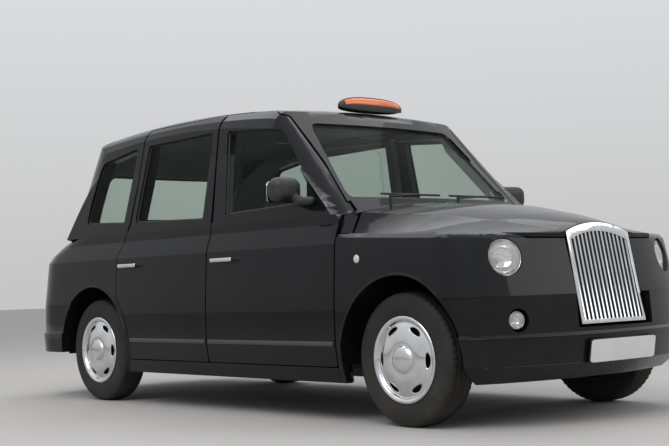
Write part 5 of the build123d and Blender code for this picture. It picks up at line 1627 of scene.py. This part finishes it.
@dataclass
class RoofSign:
    """The low roof sign: a black dome with a sunken glowing lens in its front."""

    at: Place = (0.511, 0.0, 1.768)
    half_width: float = 0.253
    deep: float = 0.050
    high: float = 0.0655
    plan_power: float = 2.6
    section_power: float = 0.85
    dome_turns: tuple[float, float] = (-18.0, 198.0)
    dome_grid: tuple[int, int] = (121, 145)
    window_half: float = 0.222
    window_turns: tuple[float, float] = (12.0, 64.0)
    window_grid: tuple[int, int] = (61, 25)
    window_crown: float = 0.0035
    window_rise: float = 0.0005
    edge_width: float = 0.003
    sink: float = 0.006

    def dome(self, y: np.ndarray, turn: np.ndarray, lift: float | np.ndarray) -> np.ndarray:
        """Points of the dome.

        With s = (1 - |y / half_width|^plan_power)^(1 / plan_power) and p = section_power a point is
        at + (s (deep + lift) |cos t|^p, y, s (high + lift) |sin t|^p), the signs of cos and sin kept.

        Args:
            y: places across the cab.
            turn: angle t, 0 at the front.
            lift: added to both half sizes.

        Returns:
            Points, in the shape of y and turn together.
        """
        s = np.clip(1.0 - np.abs(y / self.half_width) ** self.plan_power, 0.0, 1.0) ** (1 / self.plan_power)
        wave = [np.sign(part) * np.abs(part) ** self.section_power for part in (np.cos(turn), np.sin(turn))]
        x = self.at[0] + s * (self.deep + lift) * wave[0]
        z = self.at[2] + s * (self.high + lift) * wave[1]
        return np.stack([x, y + 0 * turn, z], axis=-1)

    def build(self, shop: Workshop) -> None:
        """Makes the housing and its lens.

        The housing is lowered by sink inside the window, fading over edge_width. The lens is crowned by
        window_crown (1 - (y / half)^8) (1 - (angle from its middle / half angle)^6).
        """
        low, high = np.radians(self.window_turns)
        rows, columns = self.dome_grid
        y = (self.half_width * np.sin(np.linspace(-math.pi / 2, math.pi / 2, rows)))[:, None]
        turn = np.radians(np.linspace(*self.dome_turns, columns))[None, :]
        across = np.maximum(np.abs(y) - self.window_half, 0.0)
        round_it = np.maximum(low - turn, turn - high) * self.deep
        pit = self.sink * np.clip(1.0 - np.maximum(across, round_it) / self.edge_width, 0.0, 1.0)
        housing = to_object("sign_dome", self.dome(y, turn, -pit), grid_faces(rows, columns))
        shop.fit(housing, "body", "mirror_case", "black_plastic", "sign_housing")
        rows, columns = self.window_grid
        y = np.linspace(-self.window_half, self.window_half, rows)[:, None]
        turn = np.linspace(low, high, columns)[None, :]
        over = (turn - (low + high) / 2) / ((high - low) / 2)
        rise = self.window_crown * (1 - (y / self.window_half) ** 8) * (1 - over ** 6)
        points = self.dome(y, turn, rise - self.sink + self.window_rise)
        lens = to_object("sign_window", points, grid_faces(rows, columns))
        shop.fit(lens, "body", "sign", "amber_lens", "sign_lens")


@dataclass
class TailLamps:
    """Tail lamp clusters in three bands: amber above, red between, clear below."""

    breaks: tuple[float, float] = (0.752, 0.862)
    crease: float = 30.0
    cell: float = 0.02
    passes: int = 4

    def build(self, shop: Workshop) -> None:
        """Copies the CAD lamps, cuts them at the breaks and dresses each band."""
        node = shop.frame["nodes"]["tail_lamps"]
        copy = skin(node, "tail_lamps_skin", self.crease, self.cell, self.passes)
        work = bmesh.new()
        work.from_mesh(copy.data)
        for z in self.breaks:
            split(work, np.array([0.0, 0.0, z]), np.array(UP))
        work.to_mesh(copy.data)
        work.free()
        shop.fit(copy, "body", "red", "red_lens", "tail_lamps")
        z = read(copy.data.polygons, "center", 3)[:, 2]
        numbers = np.where(z > self.breaks[1], 1, np.where(z < self.breaks[0], 2, 0))
        shop.band(copy, numbers.astype(np.int32), "amber", "reverse")


@dataclass(frozen=True)
class SoftLamp:
    """A rectangular lamp: its place, its size and its power in watts."""

    name: str
    at: Place
    size: tuple[float, float]
    power: float


@dataclass
class Studio:
    """Camera, lamps, sky and floor."""

    camera_at: Place = (6.0528, -5.1896, 0.7079)
    yaw: float = 2.420382
    pitch: float = 0.049561
    roll: float = -0.032177
    focal_px: float = 1262.893
    frame_px: float = 669.0
    sensor_mm: float = 36.0
    view_reach: float = 200.0
    aim: Place = (0.2, 0.0, 0.8)
    lamps: tuple[SoftLamp, ...] = (
        SoftLamp("key", (3.5, -6.5, 7.0), (8.0, 5.0), 400.0),
        SoftLamp("fill", (8.0, 4.0, 5.0), (6.0, 5.0), 150.0),
        SoftLamp("top", (-2.0, 1.5, 8.0), (9.0, 6.0), 260.0),
    )
    sky_stops: tuple[tuple[float, Colour], ...] = ((0.0, (0.56, 0.56, 0.56)), (0.55, (0.90, 0.93, 0.97)))
    sky_strength: float = 0.7
    floor_rings: tuple[float, ...] = (0.0, 4.0, 12.0, 60.0)
    floor_turns: int = 96
    floor_colours: tuple[Colour, Colour] = ((0.44, 0.42, 0.40), (0.50, 0.48, 0.46))

    def put(self, made: bpy.types.Object, at: Place, axes: np.ndarray) -> None:
        """Places an object whose own axes are the columns of a 3 by 3 array."""
        made.matrix_world = Matrix.Translation(at) @ Matrix(axes.tolist()).to_4x4()

    def camera(self) -> None:
        """Sets the camera: forward from yaw and pitch, then right and up turned by the roll."""
        level = math.cos(self.pitch)
        forward = np.array([level * math.cos(self.yaw), level * math.sin(self.yaw), math.sin(self.pitch)])
        right = np.cross(forward, UP)
        right /= np.linalg.norm(right)
        up = np.cross(right, forward)
        c, s = math.cos(self.roll), math.sin(self.roll)
        data = bpy.data.cameras.new("camera")
        data.sensor_width = self.sensor_mm
        data.lens = self.focal_px * self.sensor_mm / self.frame_px
        data.clip_end = self.view_reach
        made = linked("camera", data)
        self.put(made, self.camera_at, np.stack([c * right + s * up, c * up - s * right, -forward], axis=1))
        bpy.context.scene.camera = made

    def lamp(self, lamp: SoftLamp) -> None:
        """One soft lamp aimed at the middle of the cab."""
        data = bpy.data.lights.new(lamp.name, "AREA")
        data.shape = "RECTANGLE"
        data.size, data.size_y = lamp.size
        data.energy = lamp.power
        back = np.array(lamp.at) - np.array(self.aim)
        back /= np.linalg.norm(back)
        side = np.cross(UP, back)
        side /= np.linalg.norm(side)
        self.put(linked(lamp.name, data), lamp.at, np.stack([side, np.cross(back, side), back], axis=1))

    def sky(self) -> None:
        """A plain backdrop, pale at the horizon and white overhead; as a lamp it is dimmer than it looks."""
        world = bpy.data.worlds.new("sky")
        bpy.context.scene.world = world
        world.use_nodes = True
        graph = Graph(world.node_tree)
        way = graph.add("ShaderNodeTexCoord", {}, {}, "Generated")
        height = graph.add("ShaderNodeSeparateXYZ", {}, {0: way}, "Z")
        colour = graph.add("ShaderNodeValToRGB", {"stops": self.sky_stops}, {0: height})
        rays = graph.node("ShaderNodeLightPath", {}, {}).outputs
        seen = Wire(graph, rays["Is Camera Ray"])
        for name in ("Is Glossy Ray", "Is Transmission Ray"):
            inputs = {0: seen, 1: Wire(graph, rays[name])}
            seen = graph.add("ShaderNodeMath", {"operation": "MAXIMUM"}, inputs)
        light, shown = (graph.add("ShaderNodeBackground", {}, {"Color": colour, "Strength": strength})
                        for strength in (self.sky_strength, 1.0))
        mixed = graph.add("ShaderNodeMixShader", {}, {0: seen, 1: light, 2: shown})
        graph.node("ShaderNodeOutputWorld", {}, {0: mixed})

    def floor(self) -> None:
        """A wide pale floor."""
        angle = np.linspace(0.0, FULL_TURN, self.floor_turns, endpoint=False)
        reach = np.array(self.floor_rings)[:, None]
        points = np.stack([reach * np.cos(angle), reach * np.sin(angle), 0.0 * reach * angle], axis=-1)
        faces = grid_faces(len(self.floor_rings), self.floor_turns, wrap_columns=True)
        made = to_object("floor", points, faces, smooth=False)
        recipe = Recipe("pale_floor")
        recipe.feed("Base Color", recipe.blend(recipe.noise(1.3, 5.0), *self.floor_colours))
        recipe.fix(Roughness=0.85)
        made.data.materials.append(recipe.material)

    def build(self) -> None:
        """Sets the whole stage."""
        bpy.context.scene.view_settings.view_transform = "Standard"
        self.camera()
        self.sky()
        self.floor()
        for lamp in self.lamps:
            self.lamp(lamp)


def main() -> None:
    """Loads the frame, builds each sub-assembly and logs each piece's faces."""
    logging.basicConfig(level=logging.INFO, format="%(name)s %(message)s")
    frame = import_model()
    shop = Workshop(frame)
    Studio().build()
    for assembly in (Coachwork(), Fittings(), Wheels(), Lamps(), TailLamps(), RoofSign(), Grille(), Seals(),
                     Seats(), Trims()):
        LOG.info("building %s", type(assembly).__name__)
        assembly.build(shop)


if __name__ == "__main__":
    main()
